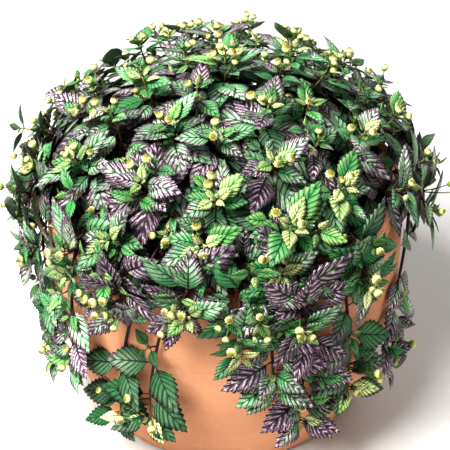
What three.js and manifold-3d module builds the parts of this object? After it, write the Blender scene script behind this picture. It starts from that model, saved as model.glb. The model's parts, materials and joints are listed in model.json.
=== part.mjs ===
// Potted Aztec sweet herb, in millimetres, +Z up, the origin at the centre of the pot's base.
// A round terracotta pot is filled with soil. Every leafy stem is one solid: it stands in a plain hole in
// the soil, and carries pairs of toothed leaves and round flower heads on thin stalks.
// The front looks along -Y.

import * as THREE from "three";
import { mergeVertices } from "three/addons/utils/BufferGeometryUtils.js";
import Module from "manifold-3d";

const wasm = await Module();
wasm.setup();

// Pot and soil
const POT_HEIGHT = 260;
const BASE_RADIUS = 146;
const BELLY_RADIUS = 182;
const BELLY_HEIGHT = 165;
const NECK_RADIUS = 175;
const WALL = 10;
const FLOOR = 14;
const POT_SIDES = 36;
// The rounded lip, from outside to inside, in steps of LIP_ROUND: out from the wall, and below the rim
const LIP_ROUND = 5;
const LIP_OUTSIDE = [
  [0, 3],
  [0.4, 1.4],
  [0.2, 0.4],
  [-0.4, 0],
];
const LIP_INSIDE = [
  [0.2, 0],
  [-0.2, 0.6],
];
const OUTER_STEPS = 4;
const INNER_HEIGHTS = [0.2, 0.55, 1];
const DRAIN_COUNT = 3;
const DRAIN_RADIUS = 7;
const DRAIN_CIRCLE = 70;
const DRAIN_SIDES = 8;
const CLEARANCE = 0.3;
const SOIL_GAP = 2.4;
const SOIL_TOP = POT_HEIGHT - 24;

// The mound of foliage: the shell that the stem tips lie on, and where the stems leave the soil
const SHELL_RADIUS = 198;
const SHELL_RISE = 142;
const SHELL_CENTRE = POT_HEIGHT - 8;
const ROOT_SPREAD = 128;
const ROOT_CROWDING = 0.9;
const ROOT_DEPTH = 18;
const ROOT_RISE = 4;

// Stems: square tubes that taper to the tip, with a short stretch at each leaf pair where the stalks grow
const STEM_RADIUS = 1.7;
const TIP_RADIUS = 1.1;
const RING_SPACING = 42;
const PATH_STEPS = 12;
const NODE_HEIGHT = 1.8;
const STALK_SLANT = 0.3;

// How a stem bends, as shares of the way from its root to its tip, and how far its leaves turn to the light
const UPRIGHT_START = 0.45;
const FACING_END = 0.4;
const LIGHT_PULL = 0.25;

// Over the rim: the climb to a crest above the lip, and the fall outside the wall
const CREST_INSET = 2;
const CLIMB_UP = 24;
const CLIMB_OUT = 18;
const FALL_OUT = 26;
const RIM_STEM = {
  root: ROOT_SPREAD + 2,
  crest: 22,
  standOff: 31,
  outward: 0.82,
  upward: 0.57,
  end: 16,
};
const TRAIL_STEM = {
  root: ROOT_SPREAD + 12,
  crest: 17,
  standOff: 12,
  outward: 0.85,
  upward: 0.5,
  end: 0.45,
};
const TRAIL_END_OUT = 3;
const RIM_FOLLOW = 0.8;
const TRAIL_OPENING = 60;
const TRAIL_OPENING_STEP = 14;

// A leaf blade: margin points from the stalk end to the tip, as shares of its length and of half its width
const LEAF_LENGTH = 43;
const LEAF_WIDTH_SHARE = 0.64;
const LEAF_THICKNESS = 0.7;
const LEAF_STALK = 7;
const STALK_THICKNESS = 1.3;
const LEAF_FOLD = 0.22;
const LEAF_DROOP = 0.16;
const RIB_POINT = 0.42;
const BLADE_MARGIN = [
  [0.02, 0.09],
  [0.32, 1.0],
  [0.42, 0.83],
  [0.68, 0.7],
];
// Pairs of leaves down from the tip: distance along the stem, size, and lift from their plane in degrees
const ROSETTE_PAIRS = [
  { back: 9, size: 0.8, lift: 26 },
  { back: 30, size: 1.05, lift: 4 },
];
const TRAIL_PAIRS = [
  { back: 8, size: 0.75, lift: 24 },
  { back: 34, size: 0.95, lift: 8 },
  { back: 78, size: 1.0, lift: 6 },
];
const LIFT_JITTER = 7;
const TWIST_JITTER = 10;
// A leaf that would touch another is lifted, turned or made smaller in these steps
const BENT_CLEAR = [
  { lift: 0, turn: 0, size: 1 },
  { lift: 12, turn: 0, size: 1 },
  { lift: -12, turn: 0, size: 1 },
  { lift: 0, turn: 16, size: 1 },
  { lift: 0, turn: -16, size: 1 },
  { lift: 22, turn: 10, size: 0.95 },
  { lift: -20, turn: -10, size: 0.95 },
  { lift: 30, turn: -18, size: 0.88 },
  { lift: 14, turn: 26, size: 0.88 },
  { lift: -10, turn: -28, size: 0.82 },
  { lift: 40, turn: 12, size: 0.8 },
];
const ROOM = 0.4;

// Flower heads, on HEADS_ON of every HEADS_OF stems: rings of an egg, as shares of its length and radius
const HEAD_RADIUS = 3.9;
const HEAD_LENGTH = 9;
const HEAD_STALK = 28;
const HEAD_STALK_RADIUS = 0.9;
const HEAD_STALK_SAG = 0.05;
const HEAD_RINGS = [
  [0.08, 0.85],
  [0.42, 1],
  [0.78, 0.72],
];
const HEAD_PAIR = 1;
const HEAD_TURNS = [0, 30, -30];
const HEAD_LEAN = 0.42;
const HEAD_RISE = { facing: 0.9, along: 0 };
const HEAD_RISE_TRAILING = { facing: 0.6, along: 0.4 };
const HEADS_ON = 3;
const HEADS_OF = 5;

// Stems read from the picture, by the angle round the pot from its front. On the mound, down is the angle
// from its top. Over the rim, drop is how far the tip lies below it, and over is the angle where a trailing
// stem crosses it. spin turns the leaf pairs, purple is their share of purple, and size scales them.
const MOUND_STEMS = [
  { round: -26, down: 54, spin: 0, purple: 0.95, size: 1.12 },
  { round: -3, down: 56, spin: 40, purple: 0.1, size: 0.85 },
  { round: -6, down: 71, spin: 25, purple: 0.4, size: 1.0 },
  { round: -32, down: 75, spin: 60, purple: 0.6, size: 1.0 },
  { round: 17, down: 46, spin: 15, purple: 0.5, size: 1.0 },
  { round: 37, down: 59, spin: 35, purple: 0.2, size: 1.0 },
  { round: 18, down: 66, spin: 55, purple: 0.05, size: 1.2 },
  { round: 14, down: 82, spin: 30, purple: 0.2, size: 0.95 },
  { round: -27, down: 34, spin: 75, purple: 0.7, size: 1.0 },
  { round: -3, down: 36, spin: 10, purple: 0.3, size: 0.9 },
  { round: 24, down: 28, spin: 50, purple: 0.3, size: 1.0 },
  { round: -71, down: 45, spin: 20, purple: 0.9, size: 1.1 },
  { round: -54, down: 57, spin: 65, purple: 1.0, size: 1.1 },
  { round: 58, down: 48, spin: 5, purple: 0.3, size: 1.0 },
];
const RIM_STEMS = [
  { round: -43, drop: 16, spin: 38, purple: 0.3, size: 0.95 },
  { round: -27, drop: 36, spin: 50, purple: 0.9, size: 1.0 },
  { round: -9, drop: 22, spin: 34, purple: 0.6, size: 1.05 },
  { round: 19, drop: 44, spin: 46, purple: 0.9, size: 1.1 },
  { round: 38, drop: 22, spin: 54, purple: 0.1, size: 0.95 },
  { round: 4, drop: 62, spin: 42, purple: 0.3, size: 0.9 },
];
const TRAIL_STEMS = [
  { over: -20, round: -35, drop: 196, purple: 0.1, size: 1.0 },
  { over: -11, round: -23, drop: 176, purple: 0.05, size: 1.05 },
  { over: 9, round: 13, drop: 118, purple: 0.9, size: 1.15 },
  { over: 24, round: 23, drop: 182, purple: 1.0, size: 1.1 },
  { over: 31, round: 39, drop: 160, purple: 0.25, size: 1.0 },
  { over: -44, round: -50, drop: 148, purple: 0.8, size: 1.0 },
];
// Stems that fill the rest of the pot by rule, with the seeds of their random draws
const MOUND_SEED = 11;
const RIM_SEED = 23;
const TRAIL_SEED = 37;
const STEM_SEED = 101;
const MOUND_FILL = 17;
const MOUND_TRIES = 90;
const MOUND_LOWEST = 78;
const MOUND_APART = 19;
const RIM_FILL = 9;
const RIM_DROP = 14;
const RIM_DROP_STEP = 30;
const TRAIL_FILL = 6;
const TRAIL_INSET = 10;
const GOLDEN_TURN = 137.508;
const FILL_FROM = 62;
const FILL_TO = 298;

const up = new THREE.Vector3(0, 0, 1);
const radians = THREE.MathUtils.degToRad;
const degrees = THREE.MathUtils.radToDeg;

// The same numbers for the same seed: a linear congruential stream, drawn between two bounds
function randomStream(seed) {
  let state = (seed * 2654435761) % 4294967296;
  const next = () => {
    state = (1664525 * state + 1013904223) % 4294967296;
    return state / 4294967296;
  };
  next();
  next();
  return (low = 0, high = 1) => low + (high - low) * next();
}

function compass(angle, radius, z) {
  return new THREE.Vector3(
    radius * Math.sin(radians(angle)),
    -radius * Math.cos(radians(angle)),
    z,
  );
}

// The pot's outer radius at a height
function potRadius(z) {
  if (z < BELLY_HEIGHT)
    return (
      BASE_RADIUS +
      (BELLY_RADIUS - BASE_RADIUS) * Math.sin((Math.PI / 2) * (z / BELLY_HEIGHT))
    );
  const share = (z - BELLY_HEIGHT) / (POT_HEIGHT - BELLY_HEIGHT);
  return BELLY_RADIUS - (BELLY_RADIUS - NECK_RADIUS) * share * share;
}

// Solids

function solidFrom(geometry) {
  const bare = geometry.clone();
  for (const name of Object.keys(bare.attributes))
    if (name !== "position") bare.deleteAttribute(name);
  const merged = mergeVertices(bare, 1e-4);
  return new wasm.Manifold(
    new wasm.Mesh({
      numProp: 3,
      vertProperties: merged.attributes.position.array,
      triVerts: new Uint32Array(merged.index.array),
    }),
  );
}

function solidFromFaces(points, faces) {
  const geometry = new THREE.BufferGeometry();
  geometry.setFromPoints(points);
  geometry.setIndex(faces.flat());
  return solidFrom(geometry);
}

function geometryFrom(solid) {
  const mesh = solid.getMesh();
  const geometry = new THREE.BufferGeometry();
  geometry.setAttribute(
    "position",
    new THREE.BufferAttribute(new Float32Array(mesh.vertProperties), 3),
  );
  geometry.setIndex(new THREE.BufferAttribute(new Uint32Array(mesh.triVerts), 1));
  geometry.computeVertexNormals();
  return geometry;
}

// Pot

// The inside of the wall from the floor up to the belly, at a distance in from its face
function innerProfile(inset) {
  return INNER_HEIGHTS.map((share) => {
    const z = FLOOR + share * (BELLY_HEIGHT - FLOOR);
    return [potRadius(z) - WALL - inset, z];
  });
}

function potProfile() {
  const outer = Array.from({ length: OUTER_STEPS + 1 }, (_, i) => {
    const z = (i / OUTER_STEPS) * BELLY_HEIGHT;
    return [potRadius(z), z];
  });
  const neck = potRadius(POT_HEIGHT - LIP_OUTSIDE[0][1] * LIP_ROUND);
  const lip = (section, face) =>
    section.map(([out, down]) => [face + out * LIP_ROUND, POT_HEIGHT - down * LIP_ROUND]);
  return [
    [0, 0],
    ...outer,
    ...lip(LIP_OUTSIDE, neck),
    ...lip(LIP_INSIDE, neck - WALL),
    ...innerProfile(0).reverse(),
    [BASE_RADIUS - WALL, FLOOR],
    [0, FLOOR],
  ];
}

function turned(profile, sides) {
  const points = profile.map(([r, z]) => new THREE.Vector2(r, z));
  return new THREE.LatheGeometry(points, sides).rotateX(Math.PI / 2);
}

function potSolid() {
  let pot = solidFrom(turned(potProfile(), POT_SIDES));
  for (let i = 0; i < DRAIN_COUNT; i++) {
    const hole = new THREE.CylinderGeometry(DRAIN_RADIUS, DRAIN_RADIUS, 3 * FLOOR, DRAIN_SIDES)
      .rotateX(Math.PI / 2)
      .translate(...compass((360 / DRAIN_COUNT) * i, DRAIN_CIRCLE, FLOOR / 2).toArray());
    pot = pot.subtract(solidFrom(hole));
  }
  return pot;
}

// Soil: fills the pot to below its rim, with a square hole for each stem

function soilSolid(roots) {
  const bottom = FLOOR + CLEARANCE;
  const profile = [
    [0, bottom],
    [BASE_RADIUS - WALL - SOIL_GAP, bottom],
    ...innerProfile(SOIL_GAP),
    [potRadius(SOIL_TOP) - WALL - SOIL_GAP, SOIL_TOP],
    [0, SOIL_TOP],
  ];
  let soil = solidFrom(turned(profile, POT_SIDES / 2));
  const width = 2 * (STEM_RADIUS + CLEARANCE);
  const depth = ROOT_DEPTH + CLEARANCE;
  for (const root of roots) {
    const hole = new THREE.BoxGeometry(width, width, 2 * depth).translate(
      root.x,
      root.y,
      SOIL_TOP,
    );
    soil = soil.subtract(solidFrom(hole));
  }
  return soil;
}

// Where the stems go

function direction(round, down) {
  return compass(round, Math.sin(radians(down)), Math.cos(radians(down)));
}

// A golden-angle spiral down the mound keeps the places that are far enough from every stem so far
function moundFill() {
  const taken = MOUND_STEMS.map((s) => direction(s.round, s.down));
  const found = [];
  const random = randomStream(MOUND_SEED);
  const lowest = Math.cos(radians(MOUND_LOWEST));
  for (let k = 0; k < MOUND_TRIES && found.length < MOUND_FILL; k++) {
    const down = degrees(Math.acos(1 - ((k + 0.5) / MOUND_TRIES) * (1 - lowest)));
    const round = (k * GOLDEN_TURN) % 360;
    const place = direction(round, down);
    const apart = Math.min(...taken.map((t) => t.angleTo(place)));
    const stem = { round, down, spin: random(0, 90), purple: random(), size: random(0.9, 1.1) };
    if (apart < radians(MOUND_APART)) continue;
    taken.push(place);
    found.push(stem);
  }
  return found;
}

function rimFill() {
  const random = randomStream(RIM_SEED);
  return Array.from({ length: RIM_FILL }, (_, k) => ({
    round: FILL_FROM + ((FILL_TO - FILL_FROM) * (k + 0.5)) / RIM_FILL + random(-4, 4),
    drop: RIM_DROP + RIM_DROP_STEP * (k % 2) + random(0, 12),
    spin: random(35, 55),
    purple: random(),
    size: random(0.92, 1.12),
  }));
}

function trailFill() {
  const random = randomStream(TRAIL_SEED);
  const [from, to] = [FILL_FROM + TRAIL_INSET, FILL_TO - TRAIL_INSET];
  return Array.from({ length: TRAIL_FILL }, (_, k) => {
    const over = from + ((to - from) * k) / (TRAIL_FILL - 1);
    return {
      over,
      round: over + random(-8, 8),
      drop: random(100, 190),
      purple: random(),
      size: random(0.95, 1.1),
    };
  });
}

// A stem's path from its root to its tip, and the way that its leaves face

function moundPath(stem) {
  const tip = direction(stem.round, stem.down)
    .multiply(new THREE.Vector3(SHELL_RADIUS, SHELL_RADIUS, SHELL_RISE))
    .add(new THREE.Vector3(0, 0, SHELL_CENTRE));
  const outward = compass(
    stem.round,
    Math.sin(radians(stem.down)) / SHELL_RADIUS,
    Math.cos(radians(stem.down)) / SHELL_RISE,
  ).normalize();
  const facing = outward.addScaledVector(up, LIGHT_PULL).normalize();
  const spread = ROOT_SPREAD * Math.pow(stem.down / 90, ROOT_CROWDING);
  const root = compass(stem.round, spread, SOIL_TOP + ROOT_RISE);
  const reach = root.distanceTo(tip);
  const curve = new THREE.CubicBezierCurve3(
    root,
    root.clone().addScaledVector(up, UPRIGHT_START * reach),
    tip.clone().addScaledVector(facing, -FACING_END * reach),
    tip,
  );
  return { line: curve.getPoints(PATH_STEPS), facing };
}

// Over the rim a stem first climbs to a crest above the lip, then falls outside the wall
function overRim(over, kind, beforeTip, tip) {
  const root = compass(over, kind.root, SOIL_TOP + ROOT_RISE);
  const crest = compass(over, NECK_RADIUS - CREST_INSET, POT_HEIGHT + kind.crest);
  const out = compass(over, 1, 0);
  const climb = new THREE.CubicBezierCurve3(
    root,
    root.clone().addScaledVector(up, CLIMB_UP),
    crest.clone().addScaledVector(out, -CLIMB_OUT),
    crest,
  );
  const fall = new THREE.CubicBezierCurve3(
    crest,
    crest.clone().addScaledVector(out, FALL_OUT),
    beforeTip,
    tip,
  );
  const line = [...climb.getPoints(PATH_STEPS / 2), ...fall.getPoints(PATH_STEPS).slice(1)];
  return { line, crest: PATH_STEPS / 2 };
}

function tipOutside(round, drop, kind) {
  const z = POT_HEIGHT - drop;
  return {
    tip: compass(round, potRadius(z) + kind.standOff, z),
    facing: compass(round, kind.outward, kind.upward).normalize(),
  };
}

function rimPath({ round, drop }) {
  const { tip, facing } = tipOutside(round, drop, RIM_STEM);
  const beforeTip = tip.clone().addScaledVector(facing, -RIM_STEM.end);
  return { ...overRim(round, RIM_STEM, beforeTip, tip), facing, follow: RIM_FOLLOW };
}

function trailPath({ over, round, drop }) {
  const { tip, facing } = tipOutside(round, drop, TRAIL_STEM);
  const above = tip.clone().add(compass(round, TRAIL_END_OUT, TRAIL_STEM.end * drop));
  return { ...overRim(over, TRAIL_STEM, above, tip), facing, trails: true };
}

// The point, and the way the stem runs there, at a distance back from the tip
function backFromTip(line, distance) {
  let left = distance;
  for (let i = line.length - 1; i > 0; i--) {
    const step = line[i].distanceTo(line[i - 1]);
    if (left <= step || i === 1)
      return {
        point: line[i].clone().lerp(line[i - 1], Math.min(left / step, 1)),
        along: line[i].clone().sub(line[i - 1]).normalize(),
      };
    left -= step;
  }
}

function lineLength(line) {
  return line.slice(1).reduce((sum, point, i) => sum + point.distanceTo(line[i]), 0);
}

// All stems, with their paths, leaf pairs and random draws
function plantStems() {
  const mound = [...MOUND_STEMS, ...moundFill()].map((s) => ({ ...s, ...moundPath(s) }));
  const rim = [...RIM_STEMS, ...rimFill()].map((s) => ({ ...s, ...rimPath(s) }));
  const trailing = [...TRAIL_STEMS, ...trailFill()].map((s) => ({ ...s, ...trailPath(s) }));
  return [...mound, ...rim, ...trailing].map((stem, index) => {
    const random = randomStream(STEM_SEED + index);
    const pairs = (stem.trails ? TRAIL_PAIRS : ROSETTE_PAIRS).map((pair) => {
      const { point, along } = backFromTip(stem.line, pair.back);
      const facing = stem.facing.clone().addScaledVector(along, stem.follow ?? 0).normalize();
      const level = up.clone().cross(facing).normalize();
      return {
        ...pair,
        point,
        along,
        facing,
        level,
        slope: facing.clone().cross(level),
        jitter: [random(-LIFT_JITTER, LIFT_JITTER), random(-LIFT_JITTER, LIFT_JITTER)],
        twist: random(-TWIST_JITTER, TWIST_JITTER),
      };
    });
    return { ...stem, pairs, headReach: random(0.75, 1.25), hasHead: index % HEADS_OF < HEADS_ON };
  });
}

// A direction across the way that a pair of leaves faces, at an angle from level towards up the slope
function across({ level, slope }, angle) {
  return level
    .clone()
    .multiplyScalar(Math.cos(radians(angle)))
    .addScaledVector(slope, Math.sin(radians(angle)));
}

// The way a leaf points: pairs are crossed, but on a trailing stem they open to its two sides, forwards
function leafAngle(stem, order, side) {
  const { twist, along, slope, level } = stem.pairs[order];
  if (!stem.trails) return stem.spin + 90 * (order % 2) + 180 * side + twist;
  const forward = Math.atan2(along.dot(slope), along.dot(level));
  const open = TRAIL_OPENING + TRAIL_OPENING_STEP * (order % 2);
  return degrees(forward) + (side ? -open : open) + twist;
}

// Where a stem has rings, from its tip to just above its root, and what grows between each and the last one.
// A stem over the rim has one on its crest.
function stations(stem) {
  const found = [];
  stem.pairs.forEach((pair, order) => {
    const head = stem.hasHead && order === HEAD_PAIR;
    if (head) found.push({ back: pair.back - 1.5 * NODE_HEIGHT });
    found.push({ back: pair.back - 0.5 * NODE_HEIGHT, head });
    found.push({ back: pair.back + 0.5 * NODE_HEIGHT, leaves: order });
  });
  const stops = stem.crest ? [lineLength(stem.line.slice(stem.crest))] : [];
  for (const stop of [...stops, lineLength(stem.line)]) {
    const reached = found.at(-1).back;
    if (stop < reached) continue;
    const steps = Math.max(1, Math.round((stop - reached) / RING_SPACING));
    for (let i = 1; i <= steps; i++) found.push({ back: reached + ((stop - reached) * i) / steps });
  }
  return found.slice(0, -1);
}

function squaredTo(forward, side) {
  return side.clone().addScaledVector(forward, -side.dot(forward)).normalize();
}

// A square ring round a centre, with the middle of its first side in the direction given, or turned from it
function ring(centre, forward, side, radius, turn = 0) {
  const other = forward.clone().cross(side);
  return [-1, 1, 3, 5].map((eighths) => {
    const angle = (Math.PI / 4) * eighths + turn;
    return centre
      .clone()
      .addScaledVector(side, radius * Math.cos(angle))
      .addScaledVector(other, radius * Math.sin(angle));
  });
}

// A body under construction: points, and faces by point number
class Body {
  constructor(points = []) {
    this.points = [...points];
    this.faces = [];
  }

  add(points) {
    const first = this.points.length;
    this.points.push(...points);
    return points.map((_, i) => first + i);
  }

  // Two faces on four points, split along the shorter diagonal so that a twisted stalk doesn't pinch
  close([a, b, c, d]) {
    const span = (i, j) => this.points[i].distanceTo(this.points[j]);
    if (span(a, c) <= span(b, d)) this.faces.push([a, b, c], [a, c, d]);
    else this.faces.push([a, b, d], [b, c, d]);
  }

  taper(from, tip) {
    const [apex] = this.add([tip]);
    from.forEach((number, k) => this.faces.push([number, from[(k + 1) % from.length], apex]));
  }

  // A shape that grows out of a patch: its first four points are the patch's own
  graft(patch, shape) {
    const numbers = [...patch, ...this.add(shape.points.slice(4))];
    for (const face of shape.faces) this.faces.push(face.map((i) => numbers[i]));
  }

  solid() {
    return solidFromFaces(this.points, this.faces);
  }
}

// The four sides between two rings of points, each a patch of four numbers, anticlockwise from outside
function sidesBetween(from, to) {
  return from.map((_, k) => {
    const next = (k + 1) % from.length;
    return [from[k], from[next], to[next], to[k]];
  });
}

// A stem's square tube: its points, its sides from the foot up, and what grows out of each side
function stemTube(stem) {
  const places = stations(stem);
  let side = across(stem.pairs[0], stem.trails ? 0 : stem.spin);
  const rings = places.map((place, i) => {
    const { point, along } = backFromTip(stem.line, place.back);
    side = squaredTo(along, side);
    const radius = THREE.MathUtils.lerp(TIP_RADIUS, STEM_RADIUS, (i + 1) / places.length);
    return { place, points: ring(point, along, side, radius) };
  });
  const [root] = stem.line;
  side = squaredTo(up, side);
  for (const z of [root.z, SOIL_TOP - ROOT_DEPTH])
    rings.push({ place: {}, points: ring(root.clone().setZ(z), up, side, STEM_RADIUS) });
  rings.reverse();
  const body = new Body();
  const numbers = rings.map(({ points }) => body.add(points));
  const sides = numbers.slice(1).flatMap((to, i) =>
    sidesBetween(numbers[i], to).map((patch) => {
      const [a, b, , d] = patch.map((number) => body.points[number]);
      const normal = b.clone().sub(a).cross(d.clone().sub(a)).normalize();
      return { patch, normal, place: rings[i].place };
    }),
  );
  return { stem, points: body.points, sides, foot: numbers[0], last: numbers.at(-1) };
}

function stemSolid({ stem, points, sides, foot, last }) {
  const body = new Body(points);
  for (const { patch, grown } of sides)
    if (grown) body.graft(grown.patch, grown.shape);
    else body.close(patch);
  body.close([...foot].reverse());
  body.taper(last, stem.line.at(-1));
  return body.solid();
}

// A leaf: a toothed blade folded up from its rib and drooping to its tip, on a stalk that starts at a patch,
// whose corners are the stalk's lower right, lower left, upper left and upper right

function leafOf(stem, order, side, bent) {
  const pair = stem.pairs[order];
  const out = across(pair, leafAngle(stem, order, side) + bent.turn);
  const lift = radians(pair.lift + pair.jitter[side] + bent.lift);
  const way = out.clone().multiplyScalar(Math.cos(lift)).addScaledVector(pair.facing, Math.sin(lift));
  const facing = pair.facing
    .clone()
    .multiplyScalar(Math.cos(lift))
    .addScaledVector(out, -Math.sin(lift));
  return {
    start: pair.point,
    way,
    facing,
    right: way.clone().cross(facing),
    length: LEAF_LENGTH * stem.size * pair.size * bent.size,
    stalk: LEAF_STALK,
    shapeOn: leafShape,
  };
}

// room makes the leaf larger all over, to test that it lies clear of what is near
function leafShape(leaf, patch, room) {
  const place = (t, s) => {
    const side = (s * LEAF_WIDTH_SHARE * leaf.length) / 2 + Math.sign(s) * room;
    const lift = LEAF_FOLD * Math.abs(side) - LEAF_DROOP * leaf.length * t * t;
    return leaf.start
      .clone()
      .addScaledVector(leaf.way, LEAF_STALK + t * leaf.length + (t === 1 ? room : 0))
      .addScaledVector(leaf.right, side)
      .addScaledVector(leaf.facing, lift);
  };
  const right = BLADE_MARGIN.map(([t, s]) => place(t, s));
  const left = BLADE_MARGIN.map(([t, s]) => place(t, -s)).reverse();
  const margin = [...right, place(1, 0), ...left];
  const shape = new Body(patch);
  const layer = (above) =>
    shape.add(
      [...margin, place(RIB_POINT, 0)].map((p, i) => {
        const isBase = i === 0 || i === margin.length - 1;
        const half = (isBase ? STALK_THICKNESS : LEAF_THICKNESS) / 2 + room;
        return p.clone().addScaledVector(leaf.facing, above * half);
      }),
    );
  const top = layer(1);
  const bottom = layer(-1);
  const topRib = top.pop();
  const bottomRib = bottom.pop();
  const base = [bottom[0], bottom.at(-1), top.at(-1), top[0]];
  for (const side of sidesBetween([0, 1, 2, 3], base)) shape.close(side);
  top.forEach((number, i) => {
    const next = (i + 1) % top.length;
    shape.faces.push([topRib, number, top[next]], [bottomRib, bottom[next], bottom[i]]);
    if (next > 0) shape.close([number, bottom[i], bottom[next], top[next]]);
  });
  return shape;
}

// A patch, started at the corner that best fits a leaf's lower right
function startedFor(leaf, patch, points) {
  if (!leaf.right) return patch;
  const lowerRight = leaf.right.clone().sub(leaf.facing);
  const upperRight = leaf.right.clone().add(leaf.facing);
  const turnedBy = (start) => [...patch.slice(start), ...patch.slice(0, start)];
  const fit = (start) => {
    const [a, b, c, d] = turnedBy(start).map((number) => points[number].clone());
    return lowerRight.dot(a.sub(c)) + upperRight.dot(d.sub(b));
  };
  return turnedBy([0, 1, 2, 3].sort((i, j) => fit(j) - fit(i))[0]);
}

// A flower head: a knobbly egg at the end of a thin stalk that sags a little

function headOf(stem, side, turn) {
  const pair = stem.pairs[HEAD_PAIR];
  const { point, along } = backFromTip(stem.line, pair.back - NODE_HEIGHT);
  const out = across(pair, leafAngle(stem, HEAD_PAIR, side) + turn);
  const rise = stem.trails ? HEAD_RISE_TRAILING : HEAD_RISE;
  const way = out
    .multiplyScalar(HEAD_LEAN)
    .addScaledVector(pair.facing, rise.facing)
    .addScaledVector(along, rise.along)
    .normalize();
  const length = HEAD_STALK * stem.headReach;
  return { start: point, way, length, stalk: 0.5 * length, shapeOn: headShape };
}

function headShape(head, patch, room) {
  const end = head.start.clone().addScaledVector(head.way, head.length);
  const middle = head.start.clone().lerp(end, 0.5).addScaledVector(up, -HEAD_STALK_SAG * head.length);
  const side = squaredTo(head.way, patch[1].clone().add(patch[0]).sub(patch[2]).sub(patch[3]));
  const rings = [middle, end].map((centre) =>
    ring(centre, head.way, side, HEAD_STALK_RADIUS + room),
  );
  HEAD_RINGS.forEach(([t, share], i) => {
    const centre = end.clone().addScaledVector(head.way, t * HEAD_LENGTH);
    rings.push(ring(centre, head.way, side, share * HEAD_RADIUS + room, (i % 2) * (Math.PI / 4)));
  });
  const shape = new Body(patch);
  let last = [0, 1, 2, 3];
  for (const points of rings) {
    const next = shape.add(points);
    for (const patch4 of sidesBetween(last, next)) shape.close(patch4);
    last = next;
  }
  shape.taper(last, end.addScaledVector(head.way, HEAD_LENGTH + room));
  return shape;
}

// Grows all leaves and heads, from the tips down, each one clear of everything that is there already

// A leaf or a head as a solid of its own, closed over the patch that it grows from
function solidAlone(shape) {
  const alone = new Body(shape.points);
  alone.faces.push(...shape.faces, [0, 3, 2], [0, 2, 1]);
  return alone.solid();
}

function boxesMeet(a, b) {
  return a.min.every((low, i) => low <= b.max[i] && b.min[i] <= a.max[i]);
}

class Plant {
  constructor(stems, surroundings) {
    this.solids = [];
    this.tubes = stems.map(stemTube);
    for (const solid of surroundings) this.keep(undefined, solid);
    for (const tube of this.tubes) this.keep(tube, stemSolid(tube));
  }

  keep(tube, solid) {
    this.solids.push({ tube, solid, box: solid.boundingBox() });
  }

  meets(shape, isAsked) {
    const tested = solidAlone(shape);
    const box = tested.boundingBox();
    return this.solids.some(
      (other) =>
        isAsked(other.tube) && boxesMeet(box, other.box) && !tested.intersect(other.solid).isEmpty(),
    );
  }

  // The first candidate that has room round it grows out of the side of the stem that it points away from.
  // Only the start of its stalk may be near its own stem.
  grow(tube, isPlace, candidates) {
    const here = tube.sides.filter((side) => isPlace(side.place));
    const taken = here.findIndex((side) => side.grown);
    const free = here.filter((side, k) => taken < 0 || k === (taken + 2) % 4);
    for (const candidate of candidates) {
      const fit = (side) => side.normal.dot(candidate.way);
      const [side] = free.sort((a, b) => fit(b) - fit(a));
      if (fit(side) < STALK_SLANT) continue;
      const patch = startedFor(candidate, side.patch, tube.points);
      const corners = patch.map((number) => tube.points[number]);
      const end = candidate.start.clone().addScaledVector(candidate.way, candidate.stalk);
      const beyond = corners.map((corner) => corner.clone().lerp(end, 0.5));
      if (this.meets(candidate.shapeOn(candidate, corners, ROOM), (other) => other !== tube)) continue;
      if (this.meets(candidate.shapeOn(candidate, beyond, ROOM), (other) => other === tube)) continue;
      const shape = candidate.shapeOn(candidate, corners, 0);
      side.grown = { patch, shape };
      this.keep(tube, solidAlone(shape));
      return;
    }
  }

  growLeaves(order) {
    for (const tube of this.tubes)
      for (const side of order < tube.stem.pairs.length ? [0, 1] : [])
        this.grow(
          tube,
          (place) => place.leaves === order,
          BENT_CLEAR.map((bent) => leafOf(tube.stem, order, side, bent)),
        );
  }

  growHeads() {
    for (const tube of this.tubes.filter(({ stem }) => stem.hasHead))
      this.grow(
        tube,
        (place) => place.head,
        [0, 1].flatMap((side) => HEAD_TURNS.map((turn) => headOf(tube.stem, side, turn))),
      );
  }
}

function growPlant(stems, surroundings) {
  const plant = new Plant(stems, surroundings);
  for (const order of TRAIL_PAIRS.keys()) plant.growLeaves(order);
  plant.growHeads();
  return plant.tubes.map(stemSolid);
}

// The finished part

const terracotta = new THREE.MeshStandardMaterial({ color: 0xc98a64, roughness: 0.85 });
const earth = new THREE.MeshStandardMaterial({ color: 0x33251b, roughness: 1 });
const greenLeaf = new THREE.Color(0x3f7a3a);
const purpleLeaf = new THREE.Color(0x5a4453);

function foliage(purple) {
  return new THREE.MeshStandardMaterial({
    color: greenLeaf.clone().lerp(purpleLeaf, purple),
    roughness: 0.55,
  });
}

function named(name, solid, material) {
  const mesh = new THREE.Mesh(geometryFrom(solid), material);
  mesh.name = name;
  return mesh;
}

const herb = new THREE.Group();
const pot = potSolid();
const stems = plantStems();
const soil = soilSolid(stems.map((s) => s.line[0]));
herb.add(named("pot", pot, terracotta), named("soil", soil, earth));
growPlant(stems, [pot, soil]).forEach((solid, i) => {
  const kind = stems[i].trails ? "trailing_stem" : "leafy_stem";
  const number = String(i + 1).padStart(2, "0");
  herb.add(named(`${kind}_${number}`, solid, foliage(stems[i].purple)));
});

export default herb;
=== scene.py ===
"""Potted Aztec sweet herb: a clay pot of soil, with leafy stems that mound over it and trail down it."""
import json
import math

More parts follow.
